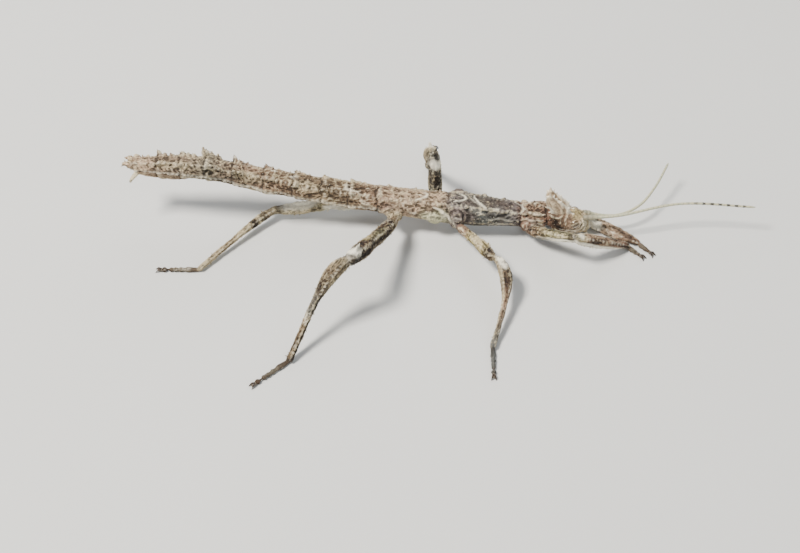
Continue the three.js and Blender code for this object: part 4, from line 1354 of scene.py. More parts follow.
LEGS = (
    Leg(
        "front_right", side=-1.0, scale=1.0, hip=(19.9, -2.3, 2.6), femur=9.4, femur_heading=-30.6,
        femur_rise=21.5, femur_bow=-0.3, tibia=10.9, tibia_heading=23, tibia_bow=0.0, foot=2.4,
        foot_heading=-39, shape=FRONT_SHAPE, dress=FRONT_DRESS, seed=10,
    ),
    Leg(
        "front_left", side=1.0, scale=0.75, hip=(19.7, 2.8, 2.3), femur=9.8, femur_heading=-4.1,
        femur_rise=-5.9, femur_bow=0.8, tibia=9.4, tibia_heading=-27, tibia_bow=-0.3, foot=2.4,
        foot_heading=-43, shape=FRONT_SHAPE, dress=FRONT_LEFT_DRESS, seed=20, flatness=1.5,
    ),
    Leg(
        "middle_right", side=-1.0, scale=1.0, hip=(8.6, -2.8, 3.0), femur=9.7, femur_heading=-52,
        femur_rise=10, femur_bow=0.2, tibia=15.2, tibia_heading=-87, tibia_bow=2.2, foot=5.0,
        foot_heading=-86, shape=MIDDLE_SHAPE, dress=MIDDLE_RIGHT_DRESS, seed=30,
    ),
    Leg(
        "middle_left", side=1.0, scale=1.05, hip=(4.55, 3.2, 3.7), femur=9.55, femur_heading=118.5,
        femur_rise=86, femur_bow=-0.2, tibia=15.3, tibia_heading=98, tibia_bow=0.4, foot=4.2,
        foot_heading=80, shape=replace(MIDDLE_SHAPE, femur=BROAD_FEMUR_PROFILE),
        dress=MIDDLE_LEFT_DRESS, seed=40,
    ),
    Leg(
        "hind_right", side=-1.0, scale=1.15, hip=(-1.4, -2.9, 4.1), femur=18.6, femur_heading=-110,
        femur_rise=25, femur_bow=0.3, tibia=17.8, tibia_heading=-128, tibia_bow=-1.5, foot=6.6,
        foot_heading=-135, shape=HIND_SHAPE, dress=HIND_RIGHT_DRESS, seed=50,
    ),
    Leg(
        "hind_left", side=1.0, scale=1.12, hip=(-2.6, 2.4, 2.4), femur=18.6, femur_heading=-171,
        femur_rise=-1, femur_bow=-0.3, tibia=16.2, tibia_heading=-132, tibia_bow=-0.5, foot=6.0,
        foot_heading=-176, shape=SLIM_HIND_SHAPE, dress=HIND_LEFT_DRESS, seed=60,
    ),
)


# ---- Nodes ----


@dataclass
class Socket:
    """One output of a node, used in sums."""

    bench: "Bench"
    output: bpy.types.NodeSocket

    def _math(self, operation: str, *values: Number) -> "Socket":
        """Adds one Math node that reads these values in order."""
        return self.bench.add("ShaderNodeMath", {"operation": operation}, dict(enumerate(values)))

    def __add__(self, other: Number) -> "Socket":
        """This value plus another."""
        return self._math("ADD", self, other)

    def __radd__(self, other: Number) -> "Socket":
        """Another value plus this one."""
        return self._math("ADD", other, self)

    def __sub__(self, other: Number) -> "Socket":
        """This value less another."""
        return self._math("SUBTRACT", self, other)

    def __rsub__(self, other: Number) -> "Socket":
        """Another value less this one."""
        return self._math("SUBTRACT", other, self)

    def __mul__(self, other: Number) -> "Socket":
        """This value times another."""
        return self._math("MULTIPLY", self, other)

    def __rmul__(self, other: Number) -> "Socket":
        """Another value times this one."""
        return self._math("MULTIPLY", other, self)

    def between(self, low: float, high: float) -> "Socket":
        """A soft step of this value, from 0 at low to 1 at high."""
        return self.bench.add(
            "ShaderNodeMapRange", {"interpolation_type": "SMOOTHSTEP", "clamp": True},
            {"Value": self, "From Min": low, "From Max": high},
        )


@dataclass
class Bench:
    """Adds nodes to one node tree."""

    tree: bpy.types.NodeTree

    def add(
        self,
        kind: str,
        settings: Optional[dict[str, object]] = None,
        values: Optional[dict[Union[int, str], object]] = None,
        output: Union[int, str] = 0,
    ) -> Socket:
        """Adds one node.

        Args:
            kind: The node's type.
            settings: What to set on the node first; stops gives a ramp's (place, colour) pairs.
            values: A number, colour or Socket for each input, by its number or name.
            output: Which output to return.

        Returns:
            That output.
        """
        node = self.tree.nodes.new(kind)
        for key, setting in (settings or {}).items():
            if key == "stops":
                ramp = node.color_ramp
                while len(ramp.elements) < len(setting):
                    ramp.elements.new(0.5)
                for element, (place, colour) in zip(ramp.elements, setting):
                    element.position = place
                    element.color = colour
            else:
                setattr(node, key, setting)
        for key, value in (values or {}).items():
            if isinstance(value, Socket):
                self.tree.links.new(value.output, node.inputs[key])
            elif value is not None:
                node.inputs[key].default_value = value
        return Socket(self, node.outputs[output])

    def mix(self, share: Number, first: object, second: object, mode: str = "MIX") -> Socket:
        """Blends two colours, with second at a share of 1."""
        return self.add(
            "ShaderNodeMix", {"data_type": "RGBA", "blend_type": mode, "clamp_factor": True},
            {0: share, 6: first, 7: second}, output=2,
        )

    def attribute(self, name: str, output: str = "Fac") -> Socket:
        """Reads one of the mesh's attributes in a material."""
        return self.add("ShaderNodeAttribute", {"attribute_name": name}, output=output)

    def place(self) -> Socket:
        """Reads where each point of the piece lies, in metres."""
        return self.add("ShaderNodeTexCoord", output="Object")

    def sine(self, value: Socket) -> Socket:
        """The sine of a value."""
        return self.add("ShaderNodeMath", {"operation": "SINE"}, {0: value})

    def clouds(self, place: Socket, scale: float, detail: float = 2.0, roughness: float = 0.55) -> Socket:
        """Noise from 0 to 1 at a scale given in swells a metre."""
        return self.add(
            "ShaderNodeTexNoise", {},
            {"Vector": place, "Scale": scale, "Detail": detail, "Roughness": roughness}, output="Fac",
        )


def new_material(name: str) -> tuple[bpy.types.Material, Bench, bpy.types.Node]:
    """Starts a material.

    Args:
        name: The material's name.

    Returns:
        The material, a bench for its nodes, and its shader.
    """
    material = bpy.data.materials.new(name)
    material.use_nodes = True
    return material, Bench(material.node_tree), material.node_tree.nodes["Principled BSDF"]


def join(bench: Bench, source: Socket, shader: bpy.types.Node, name: str) -> None:
    """Links a value to one of a shader's inputs."""
    bench.tree.links.new(source.output, shader.inputs[name])


def add_bumps(bench: Bench, shader: bpy.types.Node, strength: float, depth: float, height: Socket) -> None:
    """Adds fine bumps to a shader, depth metres high."""
    bump = bench.add("ShaderNodeBump", {}, {"Strength": strength, "Distance": depth, "Height": height})
    join(bench, bump, shader, "Normal")


@dataclass(frozen=True)
class BarkFinish:
    """The cuticle's finish: cream ridges over dark pits on the ground colour of its region; the pits'
    darkness is partly the cuticle's colour and partly painted shade.
    """

    name: str = "bark_cuticle"
    crumb_scale: float = 3600.0
    speck_scale: float = 8200.0
    drift_scale: float = 620.0
    sway_scale: float = 2600.0
    sway: float = 0.0005
    seam_scale: float = 2100.0
    bump_depth: float = 0.0001
    gloss: float = 0.32

    def make(self) -> bpy.types.Material:
        """Builds the material."""
        material, bench, shader = new_material(self.name)
        place = bench.place()
        crumb = bench.clouds(place, self.crumb_scale, 3.0, 0.6)
        speck = bench.clouds(place, self.speck_scale)
        drift = bench.clouds(place, self.drift_scale, 3.0)
        sway = bench.add(
            "ShaderNodeTexNoise", {}, {"Vector": place, "Scale": self.sway_scale, "Detail": 2.0},
            output="Color",
        )
        swayed = bench.add(
            "ShaderNodeVectorMath", {"operation": "MULTIPLY_ADD"}, {0: sway, 1: (self.sway,) * 3, 2: place},
        )
        seam = bench.add(
            "ShaderNodeTexVoronoi", {"feature": "DISTANCE_TO_EDGE"},
            {"Vector": swayed, "Scale": self.seam_scale},
            output="Distance",
        )
        line = (1.0 - seam.between(0.01, 0.13)) * drift.between(0.3, 0.5)
        relief = bench.attribute("relief") + (crumb - 0.5) * 0.5
        ridge = relief.between(0.6, 0.9)
        pit = 1.0 - relief.between(0.2, 0.46)
        ground = bench.attribute("ground", "Color")
        pale = bench.attribute("pale")
        dusk = bench.attribute("dusk")
        light = bench.mix(0.66, ground, Tint.CREAM.rgba)
        pit_stain_and_shade = bench.mix(0.86, ground, Tint.PITCH.rgba)
        warm = bench.mix(drift.between(0.4, 0.7) * 0.45, ground, Tint.UMBER.rgba)
        colour = bench.mix(ridge * 0.85, warm, light)
        colour = bench.mix((line * (1.0 - pale * 0.7)) * 0.5, colour, Tint.PITCH.rgba)
        # Low relief turns near black: partly the cuticle's dark pitting, partly painted shade in the hollows.
        colour = bench.mix((pit * (1.0 - pale * 0.8)) * 0.9, colour, pit_stain_and_shade)
        # dusk darkens towards pitch: dark stain, and painted shade where a part's coat lays it.
        colour = bench.mix((dusk * 0.72) * (1.0 - ridge * 0.5), colour, Tint.PITCH.rgba)
        colour = bench.mix(pale * (0.6 + ridge * 0.36), colour, Tint.WHITE.rgba)
        colour = bench.mix(speck.between(0.62, 0.74) * 0.3, colour, Tint.PITCH.rgba)
        join(bench, colour, shader, "Base Color")
        join(bench, 0.74 + pit * 0.16 - pale * 0.16 + (speck - 0.5) * 0.2, shader, "Roughness")
        add_bumps(bench, shader, 0.9, self.bump_depth, crumb * 0.6 + speck * 0.2 - line * 0.5)
        shader.inputs["Specular IOR Level"].default_value = self.gloss
        return material


@dataclass(frozen=True)
class HornFinish:
    """The crest's finish: pink-cream horn with pale ribs, browner in the grooves, partly the horn's colour
    and partly painted shade.
    """

    name: str = "crest_horn"
    streak_scale: float = 2600.0
    crumb_scale: float = 6200.0
    bump_depth: float = 0.00005
    gloss: float = 0.35

    def make(self) -> bpy.types.Material:
        """Builds the material."""
        material, bench, shader = new_material(self.name)
        place = bench.place()
        streak = bench.clouds(place, self.streak_scale, 3.0)
        crumb = bench.clouds(place, self.crumb_scale)
        rib = bench.attribute("relief") + (streak - 0.5) * 0.4
        ground = bench.mix(streak.between(0.3, 0.7), Tint.PINK_TAN.rgba, Tint.FAWN.rgba)
        colour = bench.mix(0.35 + rib.between(0.45, 0.85) * 0.6, ground, Tint.IVORY.rgba)
        # Grooves turn umber: partly the horn's own dark lines, partly painted shade between the ribs.
        colour = bench.mix((1.0 - rib.between(0.1, 0.4)) * 0.5, colour, Tint.UMBER.rgba)
        colour = bench.mix(bench.attribute("pale"), colour, Tint.WHITE.rgba)
        join(bench, colour, shader, "Base Color")
        join(bench, 0.6 + (crumb - 0.5) * 0.3, shader, "Roughness")
        add_bumps(bench, shader, 0.8, self.bump_depth, crumb * 0.5 + streak * 0.5)
        shader.inputs["Specular IOR Level"].default_value = self.gloss
        return material


@dataclass(frozen=True)
class EyeFinish:
    """The eyes' finish: glossy brown with cream bands round a dark heart."""

    name: str = "banded_eye"
    bands: float = 5.0
    warp_scale: float = 2400.0
    fleck_scale: float = 9000.0
    gloss: float = 0.7
    gloss_roughness: float = 0.08

    def make(self) -> bpy.types.Material:
        """Builds the material."""
        material, bench, shader = new_material(self.name)
        place = bench.place()
        warp = bench.clouds(place, self.warp_scale)
        wave = bench.sine(bench.attribute("away") * (self.bands * 2 * math.pi) + warp * 2.5)
        fleck = bench.clouds(place, self.fleck_scale)
        band = wave.between(-0.2, 0.9) * fleck.between(0.35, 0.6)
        colour = bench.mix(0.06 + band * 0.8, Tint.UMBER.rgba, Tint.CREAM.rgba)
        colour = bench.mix(bench.attribute("dusk"), colour, Tint.PITCH.rgba)
        join(bench, colour, shader, "Base Color")
        join(bench, 0.22 + fleck * 0.15, shader, "Roughness")
        shader.inputs["Coat Weight"].default_value = self.gloss
        shader.inputs["Coat Roughness"].default_value = self.gloss_roughness
        return material


@dataclass(frozen=True)
class FeelerFinish:
    """The feelers' finish: greenish cream, banded dark and cream towards the tip."""

    name: str = "banded_feeler"
    bands: float = 9.0
    banded_from: float = 0.58
    crumb_scale: float = 3800.0
    bump_depth: float = 0.00003

    def make(self) -> bpy.types.Material:
        """Builds the material."""
        material, bench, shader = new_material(self.name)
        place = bench.place()
        along = bench.attribute("along")
        crumb = bench.clouds(place, self.crumb_scale, 3.0)
        wave = bench.sine(along * (self.bands * 2 * math.pi / 0.42) + crumb * 2.0)
        dark = wave.between(-0.1, 0.5) * along.between(self.banded_from, self.banded_from + 0.12)
        dark = dark * (1.0 - along.between(0.93, 0.96)) * bench.attribute("banded")
        ground = bench.mix(crumb.between(0.35, 0.65) * 0.6, Tint.SAGE.rgba, Tint.CREAM.rgba)
        root = 1.0 - along.between(0.02, 0.12)
        colour = bench.mix(root * 0.6, ground, Tint.UMBER.rgba)
        colour = bench.mix(bench.attribute("ring") * 0.45, colour, Tint.UMBER.rgba)
        colour = bench.mix(dark * 0.9, colour, Tint.PITCH.rgba)
        join(bench, colour, shader, "Base Color")
        join(bench, 0.55 + (crumb - 0.5) * 0.3, shader, "Roughness")
        add_bumps(bench, shader, 0.6, self.bump_depth, crumb)
        return material


@dataclass(frozen=True)
class ClawFinish:
    """The claws' finish: dark amber horn with paler pads."""

    name: str = "claw_horn"
    crumb_scale: float = 5200.0
    gloss: float = 0.25

    def make(self) -> bpy.types.Material:
        """Builds the material."""
        material, bench, shader = new_material(self.name)
        place = bench.place()
        crumb = bench.clouds(place, self.crumb_scale)
        pad = bench.attribute("pale")
        colour = bench.mix(crumb.between(0.35, 0.7), Tint.PITCH.rgba, Tint.UMBER.rgba)
        colour = bench.mix(pad * 0.7, colour, Tint.ASH.rgba)
        join(bench, colour, shader, "Base Color")
        join(bench, 0.34 + pad * 0.3 + (crumb - 0.5) * 0.2, shader, "Roughness")
        shader.inputs["Coat Weight"].default_value = self.gloss
        return material


@dataclass(frozen=True)
class FloorFinish:
    """The pale floor's finish."""

    name: str = "pale_floor"
    cloud_scale: float = 18.0
    darker: tuple[float, float, float, float] = (0.60, 0.60, 0.58, 1.0)
    paler: tuple[float, float, float, float] = (0.64, 0.64, 0.62, 1.0)

    def make(self) -> bpy.types.Material:
        """Builds the material."""
        material, bench, shader = new_material(self.name)
        place = bench.place()
        cloud = bench.clouds(place, self.cloud_scale)
        colour = bench.mix(cloud, self.darker, self.paler)
        join(bench, colour, shader, "Base Color")
        shader.inputs["Roughness"].default_value = 0.9
        shader.inputs["Specular IOR Level"].default_value = 0.1
        return material


# ---- Pieces ----


def start_tree(name: str, sizes: tuple[str, ...]) -> tuple[Bench, list[Socket]]:
    """Starts a node tree that makes one geometry of another.

    Args:
        name: The tree's name.
        sizes: Names of its sizes.

    Returns:
        A bench for its nodes, then its inputs: the geometry and the sizes.
    """
    tree = bpy.data.node_groups.new(name, "GeometryNodeTree")
    tree.interface.new_socket("Geometry", in_out="INPUT", socket_type="NodeSocketGeometry")
    for size in sizes:
        tree.interface.new_socket(size, in_out="INPUT", socket_type="NodeSocketFloat")
    tree.interface.new_socket("Geometry", in_out="OUTPUT", socket_type="NodeSocketGeometry")
    bench = Bench(tree)
    entry = tree.nodes.new("NodeGroupInput")
    return bench, [Socket(bench, entry.outputs[number]) for number in range(len(sizes) + 1)]


def end_tree(bench: Bench, shape: Socket, material: bpy.types.Material) -> None:
    """Ends a node tree with real, smooth faces in their finish."""
    whole = bench.add("GeometryNodeRealizeInstances", {}, {"Geometry": shape})
    rounded = bench.add("GeometryNodeSetShadeSmooth", {}, {"Geometry": whole})
    dressed = bench.add("GeometryNodeSetMaterial", {}, {"Geometry": rounded, "Material": material})
    leave = bench.tree.nodes.new("NodeGroupOutput")
    bench.tree.links.new(dressed.output, leave.inputs[0])


def grown(seedbed: bpy.types.Mesh, tree: bpy.types.NodeTree, sizes: dict[str, float]) -> bpy.types.Mesh:
    """Runs a node tree on a mesh.

    Args:
        seedbed: The mesh that the tree starts from.
        tree: The tree.
        sizes: The value of each of its sizes.

    Returns:
        The result as a plain mesh.
    """
    carrier = show(tree.name + "_bed", seedbed)
    grow = carrier.modifiers.new("grow", "NODES")
    grow.node_group = tree
    inputs = {item.name: item.identifier for item in tree.interface.items_tree if item.in_out == "INPUT"}
    for name, value in sizes.items():
        grow[inputs[name]] = value
    evaluated = carrier.evaluated_get(bpy.context.evaluated_depsgraph_get())
    mesh = bpy.data.meshes.new_from_object(evaluated)
    bpy.data.objects.remove(carrier)
    return mesh


@dataclass
class Skin:
    """The one skin that covers the trunk, the head and all the legs."""

    offset: np.ndarray
    trunk: Trunk = field(default_factory=Trunk)
    head: Head = field(default_factory=Head)
    grain: float = 0.172
    relax_rounds: int = 2
    blend_width: float = 0.16
    replaced: tuple[str, ...] = (
        "operculum", "metathorax", "mesothorax", "pronotum", "head", "mouthparts",
    )

    def parts(self) -> list[Union[Trunk, Head, Limb]]:
        """Every part that the skin covers."""
        limbs = [limb for leg in LEGS for limb in leg.limbs(self.trunk)]
        return [self.trunk, self.head, *limbs]

    def build(self) -> bpy.types.Object:
        """Fuses the parts, carves their relief and keeps what their colours need."""
        clay = Clay()
        parts = self.parts()
        for part in parts:
            part.fill(clay)
        self.add_operculum(clay)
        surface = clay.fused("skin", self.grain)
        edges = surface.edges()
        surface.relax(self.relax_rounds, edges)
        coat = self.blended(surface.points, parts)
        surface.points += surface.normals() * coat.height[:, None]
        surface.relax(1, edges)
        surface.points[:, 2] = np.maximum(surface.points[:, 2], 0.0)
        relief = np.clip(0.5 + coat.relief / 0.3, 0.0, 1.0)
        skin = surface.to_object("skin", self.offset, {
            "ground": coat.colour, "relief": relief, "pale": coat.pale, "dusk": coat.dusk,
            "grain": coat.grain, "thorn": coat.thorn,
        })
        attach(skin, BODY)
        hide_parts(*self.replaced, *(f"abdomen_{number}" for number in range(1, 10)))
        for name in LEG_NAMES:
            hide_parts(f"coxa_{name}", f"femur_{name}", f"tibia_{name}", f"foot_{name}")
        return skin

    def add_operculum(self, clay: Clay) -> None:
        """Adds the keel-shaped plate under the tail."""
        x = np.linspace(-43.5, -34.0, 40)
        half = smooth((-43.4, -42.4, -39.5, -36.5, -34.2), (0.35, 0.7, 1.0, 1.0, 0.55), x)
        belly = self.trunk.axis_height(x) - self.trunk.radius(x) * self.trunk.flatness
        centres = np.stack([x, np.zeros_like(x), belly - 0.2], axis=1)
        clay.add(hoops(centres, LEFT, UP, half, half * 0.72, 24))

    def blended(self, points: np.ndarray, parts: list[Union[Trunk, Head, Limb]]) -> Coat:
        """Blends the coats of neighbouring parts where they meet.

        Args:
            points: Points of the skin.
            parts: The parts that it covers.

        Returns:
            One coat for the whole skin.
        """
        readings = [part.read(points) for part in parts]
        gaps = np.stack([reading.gap for reading in readings])
        share = np.exp(-(gaps - gaps.min(axis=0)) / self.blend_width)
        share = np.where(share < 0.02, 0.0, share)
        share /= share.sum(axis=0)
        names = ("height", "relief", "pale", "dusk", "grain", "thorn")
        total = {name: np.zeros(len(points)) for name in names}
        colour = np.zeros_like(points)
        for part, reading, weight in zip(parts, readings, share):
            near = weight > 0.0
            if not near.any():
                continue
            coat = part.coat(reading.only(near))
            for name in names:
                total[name][near] += weight[near] * getattr(coat, name)
            colour[near] += weight[near][:, None] * coat.colour
        return Coat(
            total["height"], total["relief"], colour, np.clip(total["pale"], 0.0, 1.0),
            np.clip(total["dusk"], 0.0, 1.0), total["grain"], total["thorn"],
        )


@dataclass
class Sprinkle:
    """Small raised bodies strewn over the skin: rounded granules, or thorns that lean back."""

    name: str
    density_attribute: str
    per_square_metre: float
    size: float
    height: float
    pale: float
    seed: int
    sides: int = 6
    smallest: float = 0.5
    largest: float = 1.15
    relief: float = 0.72
    lean: tuple[float, float, float] = (-0.55, 0.0, 0.15)

    def tree(self, thorny: bool, material: bpy.types.Material) -> bpy.types.NodeTree:
        """Builds the node tree that strews them.

        Args:
            thorny: Whether they are thorns.
            material: Their finish.

        Returns:
            The tree, whose inputs are the geometry, their density and their size.
        """
        bench, (skin, per_area, size) = start_tree(self.name, ("Per Square Metre", "Size"))
        chance = bench.add(
            "GeometryNodeInputNamedAttribute", {"data_type": "FLOAT"}, {"Name": self.density_attribute},
        )
        strewn = bench.add(
            "GeometryNodeDistributePointsOnFaces", {"distribute_method": "RANDOM"},
            {"Mesh": skin, "Density": chance * per_area, "Seed": self.seed}, output="Points",
        )
        normal = Socket(bench, strewn.output.node.outputs["Normal"])
        outward = normal
        if thorny:
            body = bench.add(
                "GeometryNodeMeshCone", {},
                {"Vertices": self.sides, "Radius Top": 0.12, "Radius Bottom": 1.0, "Depth": self.height},
            )
            outward = bench.add("ShaderNodeVectorMath", {"operation": "ADD"}, {0: normal, 1: self.lean})
        else:
            body = bench.add(
                "GeometryNodeMeshUVSphere", {}, {"Segments": self.sides, "Rings": 4, "Radius": 1.0},
            )
        turn = bench.add("FunctionNodeAlignRotationToVector", {"axis": "Z"}, {"Vector": outward})
        amount = bench.add(
            "FunctionNodeRandomValue", {"data_type": "FLOAT"},
            {"Min": self.smallest, "Max": self.largest, "Seed": self.seed + 1}, output=1,
        )
        placed = bench.add(
            "GeometryNodeInstanceOnPoints", {},
            {"Points": strewn, "Instance": body, "Rotation": turn, "Scale": amount * size},
        )
        end_tree(bench, placed, material)
        return bench.tree

    def build(self, skin: bpy.types.Object, thorny: bool, material: bpy.types.Material) -> bpy.types.Object:
        """Strews the pieces over the skin and makes them one mesh.

        Args:
            skin: The finished skin.
            thorny: Whether they are thorns.
            material: Their finish.

        Returns:
            The piece.
        """
        sizes = {"Per Square Metre": self.per_square_metre, "Size": self.size * MM}
        mesh = grown(skin.data.copy(), self.tree(thorny, material), sizes)
        strewn = np.zeros(len(mesh.vertices) * 3)
        mesh.vertices.foreach_get("co", strewn)
        strewn[2::3] = np.maximum(strewn[2::3], 0.0)
        mesh.vertices.foreach_set("co", strewn)
        relief = np.full(len(mesh.vertices), self.relief, np.float32)
        mesh.attributes["relief"].data.foreach_set("value", relief)
        pale = np.zeros(len(mesh.vertices), np.float32)
        mesh.attributes["pale"].data.foreach_get("value", pale)
        mesh.attributes["pale"].data.foreach_set("value", np.clip(pale + self.pale, 0.0, 1.0))
        piece = show(self.name, mesh)
        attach(piece, BODY)
        return piece


@dataclass
class Crest:
    """The two antlered plates on the head: ribbed hatchets with a jagged upper edge."""

    offset: np.ndarray
    foot: tuple[float, float] = (25.9, 2.2)
    base_y: float = 0.52
    pivot_z: float = 4.2
    splay: float = 1.0
    grain: float = 0.085
    rib_height: float = 0.07
    rib_count: float = 30.0
    levels: tuple[float, ...] = (3.6, 4.9, 5.6, 6.3, 7.0, 7.6, 8.3, 8.8)
    rear_x: tuple[float, ...] = (23.75, 23.4, 23.15, 22.7, 22.5, 22.4, 22.5, 22.75)
    front_x: tuple[float, ...] = (28.0, 26.95, 26.55, 26.1, 25.6, 24.9, 24.1, 23.65)
    half_thick: tuple[float, ...] = (0.32, 0.32, 0.31, 0.29, 0.27, 0.24, 0.2, 0.17)
    teeth: tuple[tuple[float, float, float, float, float], ...] = (
        (22.9, 8.1, 22.5, 8.9, 0.26), (23.2, 8.4, 23.1, 9.65, 0.36), (23.6, 8.4, 23.75, 9.3, 0.28),
        (24.0, 7.9, 24.2, 8.6, 0.28), (24.7, 7.2, 24.95, 7.85, 0.28), (25.4, 6.8, 25.75, 7.15, 0.26),
        (26.0, 6.1, 26.35, 6.4, 0.24), (26.4, 5.4, 26.8, 5.65, 0.24), (26.8, 4.8, 27.25, 4.95, 0.24),
        (22.7, 7.2, 22.25, 7.45, 0.24), (22.9, 6.1, 22.55, 6.25, 0.22), (23.4, 5.0, 23.1, 5.1, 0.2),
    )

    def build(self, side_name: str, material: bpy.types.Material) -> bpy.types.Object:
        """Builds one plate of the crest.

        Args:
            side_name: left or right.
            material: Its finish.

        Returns:
            The piece.
        """
        side = SIDES[side_name]
        clay = Clay()
        z = np.linspace(self.levels[0], self.levels[-1], 30)
        rear, front = (smooth(self.levels, edge, z) for edge in (self.rear_x, self.front_x))
        middle = np.stack([(rear + front) / 2, np.zeros_like(z), z - self.pivot_z], axis=1)
        thick = smooth(self.levels, self.half_thick, z)
        clay.add(self.upright(hoops(middle, LEFT, AHEAD, thick, (front - rear) / 2, 36), side))
        for x0, z0, x1, z1, radius in self.teeth:
            ends = [(x0, 0.0, z0 - self.pivot_z), (x1, 0.1 * side, z1 - self.pivot_z)]
            clay.add(self.upright(taper(*ends, radius, 0.08, flat=0.62, rings=12), side))
        surface = clay.fused(f"crest_{side_name}", self.grain)
        edges = surface.edges()
        surface.relax(2, edges)
        ribs = self.ribs(surface.points, side)
        surface.points += surface.normals() * (self.rib_height * ribs)[:, None]
        surface.relax(1, edges)
        tall = surface.points[:, 2]
        rear, front = (smooth(self.levels, edge, tall) for edge in (self.rear_x, self.front_x))
        across = (surface.points[:, 0] - rear) / (front - rear)
        border = 0.65 * step_up(0.8, 0.92, across + 0.05 * ribs) + 0.4 * step_up(0.1, 0.02, across)
        stripe = hill(across - 0.12, 0.09) * step_up(4.2, 4.6, tall) * step_up(6.7, 6.2, tall)
        tips = 0.35 * step_up(8.3, 9.2, tall)
        drifted = across + 0.05 * rough(surface.points, 0.9, 231, 2)
        lines = np.clip(hill(drifted - 0.72, 0.04) + hill(drifted - 0.24, 0.03), 0.0, 1.0)
        plate = surface.to_object(f"crest_plate_{side_name}", self.offset, {
            "relief": np.clip(0.5 + 0.5 * ribs - 0.7 * lines, 0.0, 1.0),
            "pale": np.clip(0.9 * stripe + border + tips, 0.0, 1.0),
        })
        plate.data.materials.append(material)
        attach(plate, BODY)
        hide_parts(f"crest_{side_name}")
        return plate

    def upright(self, rings: np.ndarray, side: float) -> np.ndarray:
        """Tilts points of a plate outward and sets them on the head."""
        lean = math.radians(side * self.splay)
        y, z = rings[..., 1].copy(), rings[..., 2].copy()
        placed = rings.copy()
        placed[..., 1] = y * math.cos(lean) + z * math.sin(lean) + side * self.base_y
        placed[..., 2] = z * math.cos(lean) - y * math.sin(lean) + self.pivot_z
        return placed

    def ribs(self, points: np.ndarray, side: float) -> np.ndarray:
        """Radiating ribs, from about -1 in the grooves to 1 on the ribs."""
        angle = np.arctan2(points[:, 0] - self.foot[0], points[:, 2] - self.foot[1] + 1.6)
        ragged = rough(points, 0.8, 211 + int(side), 2)
        fan = np.sin(angle * self.rib_count + 1.6 * ragged)
        return np.clip(0.7 * fan + 0.6 * rough(points, 0.4, 221, 2), -1.0, 1.0)


@dataclass
class Eye:
    """A bulging compound eye covered in fine facets."""

    offset: np.ndarray
    facets: int = 420
    facet_depth: float = 0.012

    def build(self, side_name: str, material: bpy.types.Material) -> bpy.types.Object:
        """Builds one eye.

        Args:
            side_name: left or right.
            material: Its finish.

        Returns:
            The piece.
        """
        side = SIDES[side_name]
        shape = bmesh.new()
        bmesh.ops.create_icosphere(shape, subdivisions=5, radius=1.0)
        number = np.arange(self.facets) + 0.5
        tall = 1.0 - 2.0 * number / self.facets
        turn = math.pi * (1.0 + math.sqrt(5.0)) * number
        ring = np.sqrt(1.0 - tall**2)
        hearts = np.stack([ring * np.cos(turn), ring * np.sin(turn), tall], axis=1)
        points = np.array([vert.co[:] for vert in shape.verts])
        nearest = 2.0 - 2.0 * (points @ hearts.T).max(axis=1)
        spacing = 4.0 * math.pi / self.facets
        lens = 1.0 - np.clip(nearest / (0.42 * spacing), 0.0, 1.0)
        outward = np.array([0.16, side * 0.9, 0.4])
        outward /= np.linalg.norm(outward)
        stretch = 1.0 - 0.1 * (1.0 - np.abs(points @ outward))
        size = (EYE.radius - 0.02) * stretch + self.facet_depth * lens
        centre = np.array(EYE.centre(side)) + self.offset
        for vert, spot, reach in zip(shape.verts, points, size):
            vert.co = Vector((centre + spot * reach) * MM)
        mesh = bpy.data.meshes.new(f"eyeball_{side_name}")
        shape.to_mesh(mesh)
        shape.free()
        rim = step_up(0.55, 0.2, points @ outward)
        away = np.arccos(np.clip(points @ outward, -1.0, 1.0))
        slant = points @ np.array([-0.35, 0.0, 0.94])
        add_attribute(mesh, "away", 0.4 * away / np.pi + 0.3 * slant)
        add_attribute(mesh, "dusk", np.clip(0.6 * rim + 0.3 * hill(away - 0.2, 0.3), 0.0, 1.0))
        mesh.shade_smooth()
        mesh.materials.append(material)
        eye = show(f"eyeball_{side_name}", mesh)
        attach(eye, BODY)
        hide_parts(f"eye_{side_name}")
        return eye


